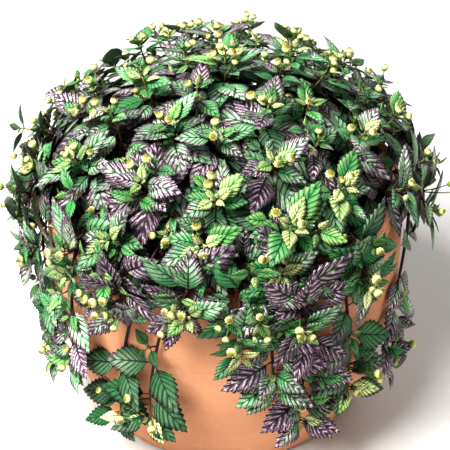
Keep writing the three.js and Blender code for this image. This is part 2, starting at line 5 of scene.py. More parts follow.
import bpy
import numpy as np
from bpy.props import FloatProperty, FloatVectorProperty, IntProperty, PointerProperty
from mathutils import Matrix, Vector


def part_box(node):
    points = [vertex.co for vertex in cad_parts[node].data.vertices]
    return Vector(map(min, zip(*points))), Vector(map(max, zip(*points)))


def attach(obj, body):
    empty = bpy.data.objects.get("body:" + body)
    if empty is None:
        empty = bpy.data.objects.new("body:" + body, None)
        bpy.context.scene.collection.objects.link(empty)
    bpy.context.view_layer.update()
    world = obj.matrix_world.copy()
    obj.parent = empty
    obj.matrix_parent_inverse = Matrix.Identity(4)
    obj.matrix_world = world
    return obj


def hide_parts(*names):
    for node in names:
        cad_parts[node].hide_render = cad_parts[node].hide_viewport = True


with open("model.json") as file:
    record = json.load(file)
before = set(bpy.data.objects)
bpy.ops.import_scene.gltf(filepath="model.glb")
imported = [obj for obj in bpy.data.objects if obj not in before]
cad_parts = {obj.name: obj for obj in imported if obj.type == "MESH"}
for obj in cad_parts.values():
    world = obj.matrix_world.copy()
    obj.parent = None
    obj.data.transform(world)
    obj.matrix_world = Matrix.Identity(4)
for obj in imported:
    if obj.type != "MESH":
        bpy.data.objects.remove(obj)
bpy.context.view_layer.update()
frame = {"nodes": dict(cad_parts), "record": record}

bl_info = {
    "name": "Potted Aztec Sweet Herb",
    "version": (1, 0, 0),
    "blender": (4, 5, 0),
    "location": "View3D > Sidebar > Herb",
    "description": "Models a pot of Aztec sweet herb with its soil, leafy stems and flower heads",
    "category": "Add Mesh",
}

# Sizes are in millimetres and angles in degrees, unless a comment says otherwise
MM = 0.001
UP = np.array((0.0, 0.0, 1.0))

# The pot and its soil
POT_HEIGHT = 260
BASE_RADIUS = 146
BELLY_RADIUS = 182
BELLY_HEIGHT = 165
NECK_RADIUS = 175
WALL = 10
FLOOR = 14
SOIL_TOP = POT_HEIGHT - 24

# The mound that the stems end on, a flattened dome
SHELL_RADIUS = 198
SHELL_RISE = 142
SHELL_CENTRE = POT_HEIGHT - 8
LIGHT_PULL = 0.25

# How the stems run from the soil to the mound
ROOT_SPREAD = 128
ROOT_CROWDING = 0.9
ROOT_RISE = 4
PATH_STEPS = 12
UPRIGHT_START = 0.45
FACING_END = 0.4

# How they run over the rim and down the wall
CREST_INSET = 2
CLIMB_UP = 24
CLIMB_OUT = 18
FALL_OUT = 26
RIM_STEM = dict(root=ROOT_SPREAD + 2, crest=22, stand_off=31, outward=0.82, upward=0.57, end=16)
TRAIL_STEM = dict(root=ROOT_SPREAD + 12, crest=17, stand_off=12, outward=0.85, upward=0.5, end=0.45)
TRAIL_END_OUT = 3
RIM_FOLLOW = 0.8
TRAIL_OPENING = 60
TRAIL_OPENING_STEP = 14
# Painted light and shade on the leaves of trailing stems: a multiplier of their colour, darker on green
# stems and lighter on purple ones
TRAIL_PAINTED_LIGHT = 0.4
TRAIL_PAINTED_LIGHT_GAIN = 1.15

# Leaves, and the pairs of them on a stem: distance back from its tip, size, lift
LEAF_LENGTH = 43
LEAF_WIDTH_SHARE = 0.64
LEAF_STALK = 7
LEAF_THICKNESS = 0.7
NODE_HEIGHT = 1.8
ROSETTE_PAIRS = [(9, 0.8, 26), (30, 1.05, 4)]
TRAIL_PAIRS = [(8, 0.75, 24), (34, 0.95, 8), (78, 1.0, 6)]
LIFT_JITTER = 7
TWIST_JITTER = 10

# Places that a leaf tries until it is clear of the others: more lift, turn, share of its length
BENT_CLEAR = [
    (0, 0, 1), (12, 0, 1), (-12, 0, 1), (0, 16, 1), (0, -16, 1), (22, 10, 0.95),
    (-20, -10, 0.95), (30, -18, 0.88), (14, 26, 0.88), (-10, -28, 0.82), (40, 12, 0.8),
]

# Flower heads, which three stems of five have
HEAD_LENGTH = 9
HEAD_STALK = 28
HEAD_PAIR = 1
HEAD_TURNS = (0, 30, -30)
HEAD_LEAN = 0.42
HEAD_UPRIGHT = 0.9
TRAIL_HEAD_UPRIGHT = 0.6
TRAIL_HEAD_AHEAD = 0.4
HEAD_REACHES = (0.75, 1.25)
HEADS_ON = 3
HEADS_OF = 5

# Stems seen on the mound: angle round the pot, angle down from the top, turn, share of purple, size
MOUND_STEMS = [
    (-26, 54, 0, 0.95, 1.12),
    (-3, 56, 40, 0.1, 0.85),
    (-6, 71, 25, 0.4, 1.0),
    (-32, 75, 60, 0.6, 1.0),
    (17, 46, 15, 0.7, 1.0),
    (37, 59, 35, 0.2, 1.0),
    (18, 66, 55, 0.05, 1.2),
    (14, 82, 30, 0.2, 0.95),
    (-27, 34, 75, 0.7, 1.0),
    (-3, 36, 10, 0.7, 0.9),
    (24, 28, 50, 0.75, 1.0),
    (-71, 45, 20, 0.9, 1.1),
    (-54, 57, 65, 0.75, 1.1),
    (58, 48, 5, 0.3, 1.0),
]

# Stems seen over the rim: angle round the pot, drop below the rim, turn, share of purple, size
RIM_STEMS = [
    (-43, 16, 38, 0.3, 0.95),
    (-27, 36, 50, 0.9, 1.0),
    (-9, 22, 34, 0.6, 1.05),
    (19, 44, 46, 0.9, 1.1),
    (38, 22, 54, 0.1, 0.95),
    (4, 62, 42, 0.3, 0.9),
]

# Stems seen to trail: angle at the rim, angle at the tip, drop below the rim, share of purple, size
TRAIL_STEMS = [
    (-20, -35, 196, 0.1, 1.0),
    (-11, -23, 176, 0.05, 1.05),
    (9, 13, 118, 0.9, 1.15),
    (24, 23, 182, 1.0, 1.1),
    (31, 39, 160, 0.25, 1.0),
    (-44, -50, 148, 0.8, 1.0),
]

# The other stems, by a seeded rule. Those over the rim stand between two angles, behind the seen ones.
STEM_SEED = 101
GOLDEN_TURN = 137.508
FILL_FROM = 62
FILL_TO = 298
MOUND_FILL = dict(seed=11, count=17, tries=90, lowest=78, apart=19, turn=(0, 90), size=(0.9, 1.1))
RIM_FILL = dict(
    seed=23, count=9, sway=(-4, 4), drop=14, step=30, more=(0, 12), turn=(35, 55), size=(0.92, 1.12)
)
TRAIL_FILL = dict(seed=37, count=6, inset=10, sway=(-8, 8), drop=(100, 190), size=(0.95, 1.1))

# Branches that close the gaps between the seen stems: angle round the pot, angle down from the top
GAP_SHOOTS = [
    (-17, 71), (5, 76), (34, 74), (-44, 70), (-39, 50), (-12, 90), (0, 89), (9, 90), (-34, 91),
]
GAP_SINK = -0.1
GAP_SCALE = 0.9

# How far down the other branches fill the foliage, at angles round the pot. Past OVER_EDGE they hang.
HEM = [(0, 96), (14, 92), (26, 64), (62, 64), (85, 96), (275, 96), (315, 94), (345, 96), (360, 96)]
OVER_EDGE = 84
DROP_STEP = 4.5
BRANCH_FILL = dict(seed=55, tries=420, reach=1.16, start=20, sink=(-0.1, 0.03))
BRANCH_SEED = 77
BRANCH_BACK = 95
RIM_BRANCH_BACK = 75
ANCHOR_BACK = 80
CROWN_CENTRE = np.array((0.0, 0.0, SHELL_CENTRE - 40))
BEHIND_FROM = -0.2
CLOSER_BEHIND = 0.3

# The blade's half width as a share of its widest, from the stalk end to the tip
BLADE_OUTLINE = [
    (0, 0.04), (0.04, 0.2), (0.1, 0.5), (0.2, 0.83), (0.32, 1.0), (0.44, 0.96),
    (0.56, 0.83), (0.68, 0.62), (0.8, 0.38), (0.91, 0.16), (1.0, 0.0),
]

# The height of a ridge between two veins, from the midrib to the margin
RIDGE_OUTLINE = [(0, 0), (0.3, 1), (0.7, 0.9), (1, 0.3)]
RIDGE_ROOM = 0.14
TOOTH_ROOM = 0.13
TOOTH_LEAST = 0.2
TOOTH_AHEAD = 1.1
VEIN_UNIT = 0.1
VEIN_SWEEP = 1.12
RIB_CROWDING = 2.5
DROOP = 0.16
FOLD = 0.26
CUP = 0.5

# Where a blade is darker at its tip, and purple at its sides, as shares of its length
TIP_FROM = 0.82
TIP_LENGTH = 0.18
TIP_SHADE = 0.55
BLUSH_FROM = 0.4
BLUSH_FADE = 0.4
BLUSH_AGEING = 0.85
BLUSH_SIDE = 0.9
STALK_RADIUS = 0.35

# A flower head of unit length
HEAD_SEGMENTS = 9
HEAD_RINGS = 7
HEAD_WIDTH = 0.92
HEAD_TAPER = 0.25
TAPER_FROM = 0.55
FLORETS = dict(swell=0.2, gap=0.06, rise=0.05)
COLLAR = dict(height=0.62, spread=0.12, swell=0.22)

# What grows on the finer stems. Each pair has back, size, lift, order, youth and depth.
GROWTH_SEED = 900
CROWN_PAIRS = [(0.6, 0.17, 60, 0), (2.6, 0.3, 46, 1), (5.2, 0.46, 32, 0)]
# Crowns of trailing stems: larger leaves, with painted light that brightens those which face away from the
# lamps
TRAIL_CROWN = dict(size=1.4, light=1.4)
ROSETTE_MORE = [(15, 0.66, 20, 1, 0.2, 0.0), (25, 0.95, 6, 0, 0.0, 0.15)]
BRANCH_MORE = [(16, 0.85, 16, 1, 0.1, 0.05)]
FULL_TRAIL_MORE = [(20, 0.62, 34, 1, 0.15, 0), (56, 0.5, 40, 0, 0.1, 0)]
SPARSE_TRAIL_MORE = [(20, 0.6, 14, 1, 0.3, 0)]
SPARSE_BELOW = 0.15
PAIR_SPACING = 20
DEPTH_STEP = 0.2
DEPTH_SHADE = 0.6
LARGE_LEAF = 30
MIDDLE_LEAF = 14
FINE_TWIST = 14
FINE_LIFT = 10
LEAF_DROOPS = (0.7, 1.5)
LEAF_TWISTS = (-0.3, 0.3)
LEAF_CURVES = (-0.06, 0.06)
LEAF_LIGHTS = (0.8, 1.45)
LEAF_BLUSHES = (-0.3, 1.2)
YOUNG_HEAD_STALK = 12
STEM_FOOT = 12
UPRIGHT = dict(youth=1.0, flowering=1.0, oldest=-2.2)
HANGING = dict(youth=0.3, flowering=0.4, oldest=-5.0)
HANGING_TAPER = (1.15, 0.9)


# Directions and places


def unit(vector):
    return vector / np.linalg.norm(vector)


def random_stream(seed):
    """The same draws for the same seed: a linear congruential stream between two bounds."""
    span = 2 ** 32
    state = (seed * 2654435761) % span

    def draw(low=0.0, high=1.0):
        nonlocal state
        state = (1664525 * state + 1013904223) % span
        return low + (high - low) * state / span

    draw()
    draw()
    return draw


def compass(angle, radius, z):
    """A point at an angle round the pot from its front."""
    turn = math.radians(angle)
    return np.array((radius * math.sin(turn), -radius * math.cos(turn), z))


def direction(round_, down):
    return compass(round_, math.sin(math.radians(down)), math.cos(math.radians(down)))


def crowded(place, taken, apart):
    """Whether a direction lies nearer than an angle to one of those that are taken."""
    return max(float(other @ place) for other in taken) > math.cos(math.radians(apart))


def pot_radius(z):
    """The pot's outer radius at a height."""
    if z < BELLY_HEIGHT:
        return BASE_RADIUS + (BELLY_RADIUS - BASE_RADIUS) * math.sin(math.pi / 2 * z / BELLY_HEIGHT)
    share = (z - BELLY_HEIGHT) / (POT_HEIGHT - BELLY_HEIGHT)
    return BELLY_RADIUS - (BELLY_RADIUS - NECK_RADIUS) * share * share


def bezier(a, b, c, d, steps):
    t = np.linspace(0, 1, steps + 1)[:, None]
    return (1 - t) ** 3 * a + 3 * (1 - t) ** 2 * t * b + 3 * (1 - t) * t * t * c + t ** 3 * d


def smooth(line):
    """A line with a point between each two of its points, on a curve through them."""
    out = [line[0]]
    for i in range(len(line) - 1):
        before, a, b, after = line[max(i - 1, 0)], line[i], line[i + 1], line[min(i + 2, len(line) - 1)]
        out.append((9 * (a + b) - (before + after)) / 16)
        out.append(b)
    return np.array(out)


def back_from_tip(line, distance):
    """The point at a distance back from a line's end, and the way the line runs there."""
    left = distance
    for i in range(len(line) - 1, 0, -1):
        step = np.linalg.norm(line[i] - line[i - 1])
        if left <= step or i == 1:
            share = min(left / step, 1)
            return line[i] + (line[i - 1] - line[i]) * share, unit(line[i] - line[i - 1])
        left -= step
    raise ValueError("a line needs two points")


def line_length(line):
    return float(np.linalg.norm(np.diff(line, axis=0), axis=1).sum())


# Where the stems go


def mound_fill():
    """Stems on the mound that are far enough from every one so far, down a golden-angle spiral."""
    draw = random_stream(MOUND_FILL["seed"])
    tries, lowest = MOUND_FILL["tries"], math.cos(math.radians(MOUND_FILL["lowest"]))
    taken = [direction(stem[0], stem[1]) for stem in MOUND_STEMS]
    found = []
    for k in range(tries):
        if len(found) == MOUND_FILL["count"]:
            break
        down = math.degrees(math.acos(1 - (k + 0.5) / tries * (1 - lowest)))
        round_ = (k * GOLDEN_TURN) % 360
        place = direction(round_, down)
        stem = (round_, down, draw(*MOUND_FILL["turn"]), draw(), draw(*MOUND_FILL["size"]))
        if not crowded(place, taken, MOUND_FILL["apart"]):
            taken.append(place)
            found.append(stem)
    return found


def rim_fill():
    """Stems over the rim, at even angles with some sway, short and long in turn."""
    draw = random_stream(RIM_FILL["seed"])
    found = []
    for k in range(RIM_FILL["count"]):
        even = FILL_FROM + (FILL_TO - FILL_FROM) * (k + 0.5) / RIM_FILL["count"]
        round_ = even + draw(*RIM_FILL["sway"])
        drop = RIM_FILL["drop"] + RIM_FILL["step"] * (k % 2) + draw(*RIM_FILL["more"])
        found.append((round_, drop, draw(*RIM_FILL["turn"]), draw(), draw(*RIM_FILL["size"])))
    return found


def trail_fill():
    """Trailing stems, at even angles round the rim."""
    draw = random_stream(TRAIL_FILL["seed"])
    start, end = FILL_FROM + TRAIL_FILL["inset"], FILL_TO - TRAIL_FILL["inset"]
    found = []
    for k in range(TRAIL_FILL["count"]):
        over = start + (end - start) * k / (TRAIL_FILL["count"] - 1)
        round_ = over + draw(*TRAIL_FILL["sway"])
        found.append((over, round_, draw(*TRAIL_FILL["drop"]), draw(), draw(*TRAIL_FILL["size"])))
    return found


def shell_place(round_, down):
    """A point on the mound, and the way that leaves face there."""
    tip = direction(round_, down) * (SHELL_RADIUS, SHELL_RADIUS, SHELL_RISE) + SHELL_CENTRE * UP
    side, height = math.sin(math.radians(down)), math.cos(math.radians(down))
    outward = unit(compass(round_, side / SHELL_RADIUS, height / SHELL_RISE))
    return tip, unit(outward + LIGHT_PULL * UP)


def mound_path(round_, down):
    tip, facing = shell_place(round_, down)
    root = compass(round_, ROOT_SPREAD * (down / 90) ** ROOT_CROWDING, SOIL_TOP + ROOT_RISE)
    reach = np.linalg.norm(tip - root)
    steady = root + UP * UPRIGHT_START * reach
    return bezier(root, steady, tip - facing * FACING_END * reach, tip, PATH_STEPS), facing


def over_rim(over, kind, before_tip, tip):
    """A path that climbs to a crest above the lip and falls outside the wall."""
    root = compass(over, kind["root"], SOIL_TOP + ROOT_RISE)
    crest = compass(over, NECK_RADIUS - CREST_INSET, POT_HEIGHT + kind["crest"])
    out = compass(over, 1, 0)
    climb = bezier(root, root + UP * CLIMB_UP, crest - out * CLIMB_OUT, crest, PATH_STEPS // 2)
    fall = bezier(crest, crest + out * FALL_OUT, before_tip, tip, PATH_STEPS)
    return np.vstack((climb, fall[1:]))


def tip_outside(round_, drop, kind):
    """A tip outside the wall at a drop below the rim, and the way that it faces."""
    z = POT_HEIGHT - drop
    tip = compass(round_, pot_radius(z) + kind["stand_off"], z)
    return tip, unit(compass(round_, kind["outward"], kind["upward"]))


def rim_path(round_, drop):
    tip, facing = tip_outside(round_, drop, RIM_STEM)
    return over_rim(round_, RIM_STEM, tip - facing * RIM_STEM["end"], tip), facing


def trail_path(over, round_, drop):
    tip, facing = tip_outside(round_, drop, TRAIL_STEM)
    above = tip + compass(round_, TRAIL_END_OUT, TRAIL_STEM["end"] * drop)
    return over_rim(over, TRAIL_STEM, above, tip), facing


def pair_on(shoot, back, size=1, lift=0):
    """A pair of leaves on a shoot: its place, and the plane that it opens in."""
    point, along = back_from_tip(shoot["line"], back)
    facing = unit(shoot["facing"] + shoot["follow"] * along)
    level = unit(np.cross(UP, facing))
    return dict(
        back=back, size=size, lift=lift, point=point, along=along, facing=facing,
        level=level, slope=np.cross(facing, level), jitter=(0, 0), twist=0,
    )


def shoot_from(line, facing, spin, purple, size, follow=0.0, trails=False, light=1.0):
    """A shoot: its line, how its leaf pairs face and turn, how purple and large they are, and the painted
    light and shade that their leaves get.
    """
    return dict(
        line=line, facing=facing, spin=spin, purple=purple, size=size,
        follow=follow, trails=trails, light=light,
    )


def turned(shoot):
    """The same shoot, with its leaf pairs between the directions of the others."""
    return dict(shoot, spin=shoot["spin"] + 45)


def plant_stems():
    """Every stem that is rooted in the soil, with its path, its leaf pairs and its random draws."""
    stems = []
    for round_, down, spin, purple, size in MOUND_STEMS + mound_fill():
        stems.append(shoot_from(*mound_path(round_, down), spin, purple, size))
    for round_, drop, spin, purple, size in RIM_STEMS + rim_fill():
        stems.append(shoot_from(*rim_path(round_, drop), spin, purple, size, RIM_FOLLOW))
    for over, round_, drop, purple, size in TRAIL_STEMS + trail_fill():
        line, facing = trail_path(over, round_, drop)
        # Painted light and shade for the trailing stem's leaves
        light = TRAIL_PAINTED_LIGHT + TRAIL_PAINTED_LIGHT_GAIN * purple
        stems.append(shoot_from(line, facing, 0, purple, size, trails=True, light=light))
    for index, stem in enumerate(stems):
        draw = random_stream(STEM_SEED + index)
        kind = "trailing_stem" if stem["trails"] else "leafy_stem"
        stem.update(index=index, node=f"{kind}_{index + 1:02d}", pairs=[])
        for back, size, lift in TRAIL_PAIRS if stem["trails"] else ROSETTE_PAIRS:
            pair = pair_on(stem, back, size, lift)
            pair["jitter"] = (draw(-LIFT_JITTER, LIFT_JITTER), draw(-LIFT_JITTER, LIFT_JITTER))
            pair["twist"] = draw(-TWIST_JITTER, TWIST_JITTER)
            stem["pairs"].append(pair)
        stem["head_reach"] = draw(*HEAD_REACHES)
        stem["has_head"] = index % HEADS_OF < HEADS_ON
    return stems


def across(pair, angle):
    """A direction across the way that a pair of leaves faces."""
    turn = math.radians(angle)
    return pair["level"] * math.cos(turn) + pair["slope"] * math.sin(turn)


def leaf_angle(stem, pair, order, side):
    """The way a leaf points: pairs are crossed, but on a trailing stem they open to its two sides."""
    if not stem["trails"]:
        return stem["spin"] + 90 * (order % 2) + 180 * side + pair["twist"]
    forward = math.degrees(math.atan2(pair["along"] @ pair["slope"], pair["along"] @ pair["level"]))
    opening = TRAIL_OPENING + TRAIL_OPENING_STEP * (order % 2)
    return forward + (-opening if side else opening) + pair["twist"]


def leaf_of(stem, pair, order, side, bent=(0, 0, 1)):
    """A leaf's place: where it starts, the way it points, the way it faces, its right and its length."""
    more_lift, turn, shrink = bent
    out = across(pair, leaf_angle(stem, pair, order, side) + turn)
    lift = math.radians(pair["lift"] + pair["jitter"][side] + more_lift)
    way = out * math.cos(lift) + pair["facing"] * math.sin(lift)
    facing = pair["facing"] * math.cos(lift) - out * math.sin(lift)
    length = LEAF_LENGTH * stem["size"] * pair["size"] * shrink
    return dict(start=pair["point"], way=way, facing=facing, right=np.cross(way, facing), length=length)


def leaf_tip(leaf):
    droop = DROOP * leaf["length"]
    return leaf["start"] + leaf["way"] * (LEAF_STALK + leaf["length"]) - leaf["facing"] * droop


def head_of(stem, side, turn):
    """The stalk of a stem's own flower head, in an axil of one of its pairs."""
    pair = stem["pairs"][HEAD_PAIR]
    start, along = back_from_tip(stem["line"], pair["back"] - NODE_HEIGHT)
    way = across(pair, leaf_angle(stem, pair, HEAD_PAIR, side) + turn) * HEAD_LEAN
    if stem["trails"]:
        way = way + pair["facing"] * TRAIL_HEAD_UPRIGHT + along * TRAIL_HEAD_AHEAD
    else:
        way = way + pair["facing"] * HEAD_UPRIGHT
    return dict(start=start, way=unit(way), length=HEAD_STALK * stem["head_reach"])


def branch_tip(round_, down, sink):
    """A branch's tip on the mound, or outside the rim, with the way it faces and how far back it starts."""
    if down > OVER_EDGE:
        return *tip_outside(round_, (down - OVER_EDGE) * DROP_STEP, RIM_STEM), RIM_BRANCH_BACK
    tip, facing = shell_place(round_, down)
    return tip + (tip - SHELL_CENTRE * UP) * sink, facing, BRANCH_BACK


def branch_places(stems, apart):
    """Where more rosettes fill the mound and the rim, above the hem: tip, facing, start and scale."""
    taken = [unit(stem["line"][-1] - CROWN_CENTRE) for stem in stems if not stem["trails"]]
    draw = random_stream(BRANCH_FILL["seed"])
    found = []
    for round_, down in GAP_SHOOTS:
        tip, facing, back = branch_tip(round_, down, GAP_SINK)
        taken.append(unit(tip - CROWN_CENTRE))
        found.append((tip, facing, back, GAP_SCALE))
    for k in range(BRANCH_FILL["tries"]):
        down = math.degrees(math.acos(1 - (k + 0.5) / BRANCH_FILL["tries"] * BRANCH_FILL["reach"]))
        round_ = (k * GOLDEN_TURN + BRANCH_FILL["start"]) % 360
        sink = draw(*BRANCH_FILL["sink"])
        if down > np.interp(round_, *zip(*HEM)):
            continue
        tip, facing, back = branch_tip(round_, down, sink)
        place = unit(tip - CROWN_CENTRE)
        closeness = 1 - CLOSER_BEHIND * np.clip(tip[1] / SHELL_RADIUS - BEHIND_FROM, 0, 1)
        if not crowded(place, taken, apart * closeness):
            taken.append(place)
            found.append((tip, facing, back, closeness))
    return found


# Meshes and arrays


def read(items, name, width=1, kind=float):
    """One value of each of a mesh's vertices, corners or faces, as an array."""
    values = np.empty(len(items) * width, kind)
    items.foreach_get(name, values)
    return values.reshape(-1, width) if width > 1 else values


def coordinates(mesh):
    return read(mesh.vertices, "co", 3)


def set_coordinates(mesh, points):
    mesh.vertices.foreach_set("co", np.asarray(points, np.float32).ravel())
    mesh.update()


def placed(points, size, origin, axes):
    """Points of a form at a size and a place, where its own x, y and z point along three axes."""
    for values, axis in zip(points.T, axes):
        origin = origin + np.outer(values * size, axis)
    return origin


def deselect_all():
    bpy.ops.object.select_all(action="DESELECT")


def edit(*steps):
    """Runs edit-mode operators on all of the active object."""
    bpy.ops.object.mode_set(mode="EDIT")
    bpy.ops.mesh.select_all(action="SELECT")
    for operator, options in steps:
        operator(**options)
    bpy.ops.object.mode_set(mode="OBJECT")


class Solid:
    """The points of a stem's solid, to find which of the bent places its leaves and its head took."""

    def __init__(self, node):
        self.points = read(frame["nodes"][node].data.vertices, "co", 3, np.float32) / MM

    def has(self, point, reach):
        return np.linalg.norm(self.points - point, axis=1).min() < reach

    def leaf(self, stem, order, side):
        for bent in BENT_CLEAR:
            leaf = leaf_of(stem, stem["pairs"][order], order, side, bent)
            if self.has(leaf_tip(leaf), 0.5 * LEAF_THICKNESS + 0.1):
                return leaf
        return None

    def head(self, stem):
        for side in (0, 1):
            for turn in HEAD_TURNS:
                head = head_of(stem, side, turn)
                if self.has(head["start"] + head["way"] * (head["length"] + HEAD_LENGTH), 0.1):
                    return head
        return None


# Forms that are modelled once and then copied


class Form:
    """A modelled shape as arrays: points, face corners, pattern coordinates and two shades of each point."""

    def __init__(self, model, shades):
        mesh = model.data
        self.points = coordinates(mesh)
        self.corners = read(mesh.loops, "vertex_index", kind=np.int32)
        self.totals = read(mesh.polygons, "loop_total", kind=np.int32)
        self.pattern = read(mesh.uv_layers.active.data, "uv", 2)
        self.shades = shades
        bpy.data.objects.remove(model)
        bpy.data.meshes.remove(mesh)


def leaf_form(veins, columns, ridge, serration):
    """A blade of unit length: a grid whose rows sweep out along the side veins, puckered between them.

    The pattern coordinates hold the way across the blade, and the number of veins passed along it.
    A second skin closes it below, and meets the first all round the toothed margin.
    """
    deselect_all()
    bpy.ops.mesh.primitive_grid_add(x_subdivisions=2 * columns, y_subdivisions=2 * veins, size=2)
    blade = bpy.context.object
    mesh = blade.data
    grid = coordinates(mesh)
    off_rib = np.abs(grid[:, 0])
    edge = off_rib > 0.99
    row = np.rint((grid[:, 1] + 1) * veins)
    margin = row / (2 * veins)
    rib = margin ** RIB_CROWDING
    crest = np.where(row % 2 == 1, 1.0, -1.0)
    half = 0.5 * LEAF_WIDTH_SHARE * np.interp(margin, *zip(*BLADE_OUTLINE))
    room = np.clip(half / TOOTH_ROOM, TOOTH_LEAST, 1)
    tooth = -serration * crest * room * (margin > 0) * (margin < 1) * edge
    x = np.sign(grid[:, 0]) * off_rib * (half + tooth)
    y = rib + (margin - rib) * off_rib ** VEIN_SWEEP + TOOTH_AHEAD * np.maximum(tooth, 0)
    pucker = np.interp(off_rib, *zip(*RIDGE_OUTLINE)) * crest
    groove = np.where(off_rib < 0.01, -1.0, 0)
    z = ridge * (pucker + groove) * np.clip(half / RIDGE_ROOM, 0, 1) + FOLD * np.abs(x) - CUP * x ** 2
    points = np.column_stack((x, y, z))
    rim = edge | (row == 0) | (row == 2 * veins)
    edit((bpy.ops.mesh.duplicate, {}), (bpy.ops.mesh.flip_normals, {}))
    under = points - np.where(rim, 0, LEAF_THICKNESS / LEAF_LENGTH)[:, None] * UP
    set_coordinates(mesh, np.vstack((points, under)))
    outer = np.maximum(BLUSH_SIDE * off_rib ** 2, margin)
    marks = {"below": np.hstack((np.zeros(len(rim)), ~rim)), "outer": np.hstack((outer, outer))}
    for name, values in marks.items():
        mesh.attributes.new(name, "FLOAT", "POINT").data.foreach_set("value", values)
    for corner in mesh.uv_layers.active.data:
        corner.uv.y *= veins * VEIN_UNIT
    edit((bpy.ops.mesh.remove_doubles, dict(threshold=1e-5)))
    return Form(blade, [read(mesh.attributes[name].data, "value") for name in marks])


def head_form():
    """A flower head of unit length: an egg of small florets over a collar of green bracts."""
    deselect_all()
    bpy.ops.mesh.primitive_uv_sphere_add(segments=HEAD_SEGMENTS, ring_count=HEAD_RINGS, radius=0.5)
    egg = bpy.context.object
    mesh = egg.data
    smooth_egg = len(mesh.vertices)
    edit((bpy.ops.mesh.poke, {}))
    points = coordinates(mesh)
    height = points[:, 2] + 0.5
    radius = np.hypot(points[:, 0], points[:, 1])
    knob = np.arange(len(points)) >= smooth_egg
    collar = np.exp(-((height - COLLAR["height"]) / COLLAR["spread"]) ** 2)
    swell = 1 + knob * (FLORETS["swell"] + COLLAR["swell"] * collar) - (~knob) * FLORETS["gap"]
    width = HEAD_WIDTH * (1 - HEAD_TAPER * np.clip(height - TAPER_FROM, 0, 1))
    points[:, :2] *= (swell * width)[:, None]
    points[:, 2] = height + knob * FLORETS["rise"] * (radius > 0.05)
    set_coordinates(mesh, points)
    return Form(egg, [knob.astype(float), np.clip(points[:, 2], 0, 1)])


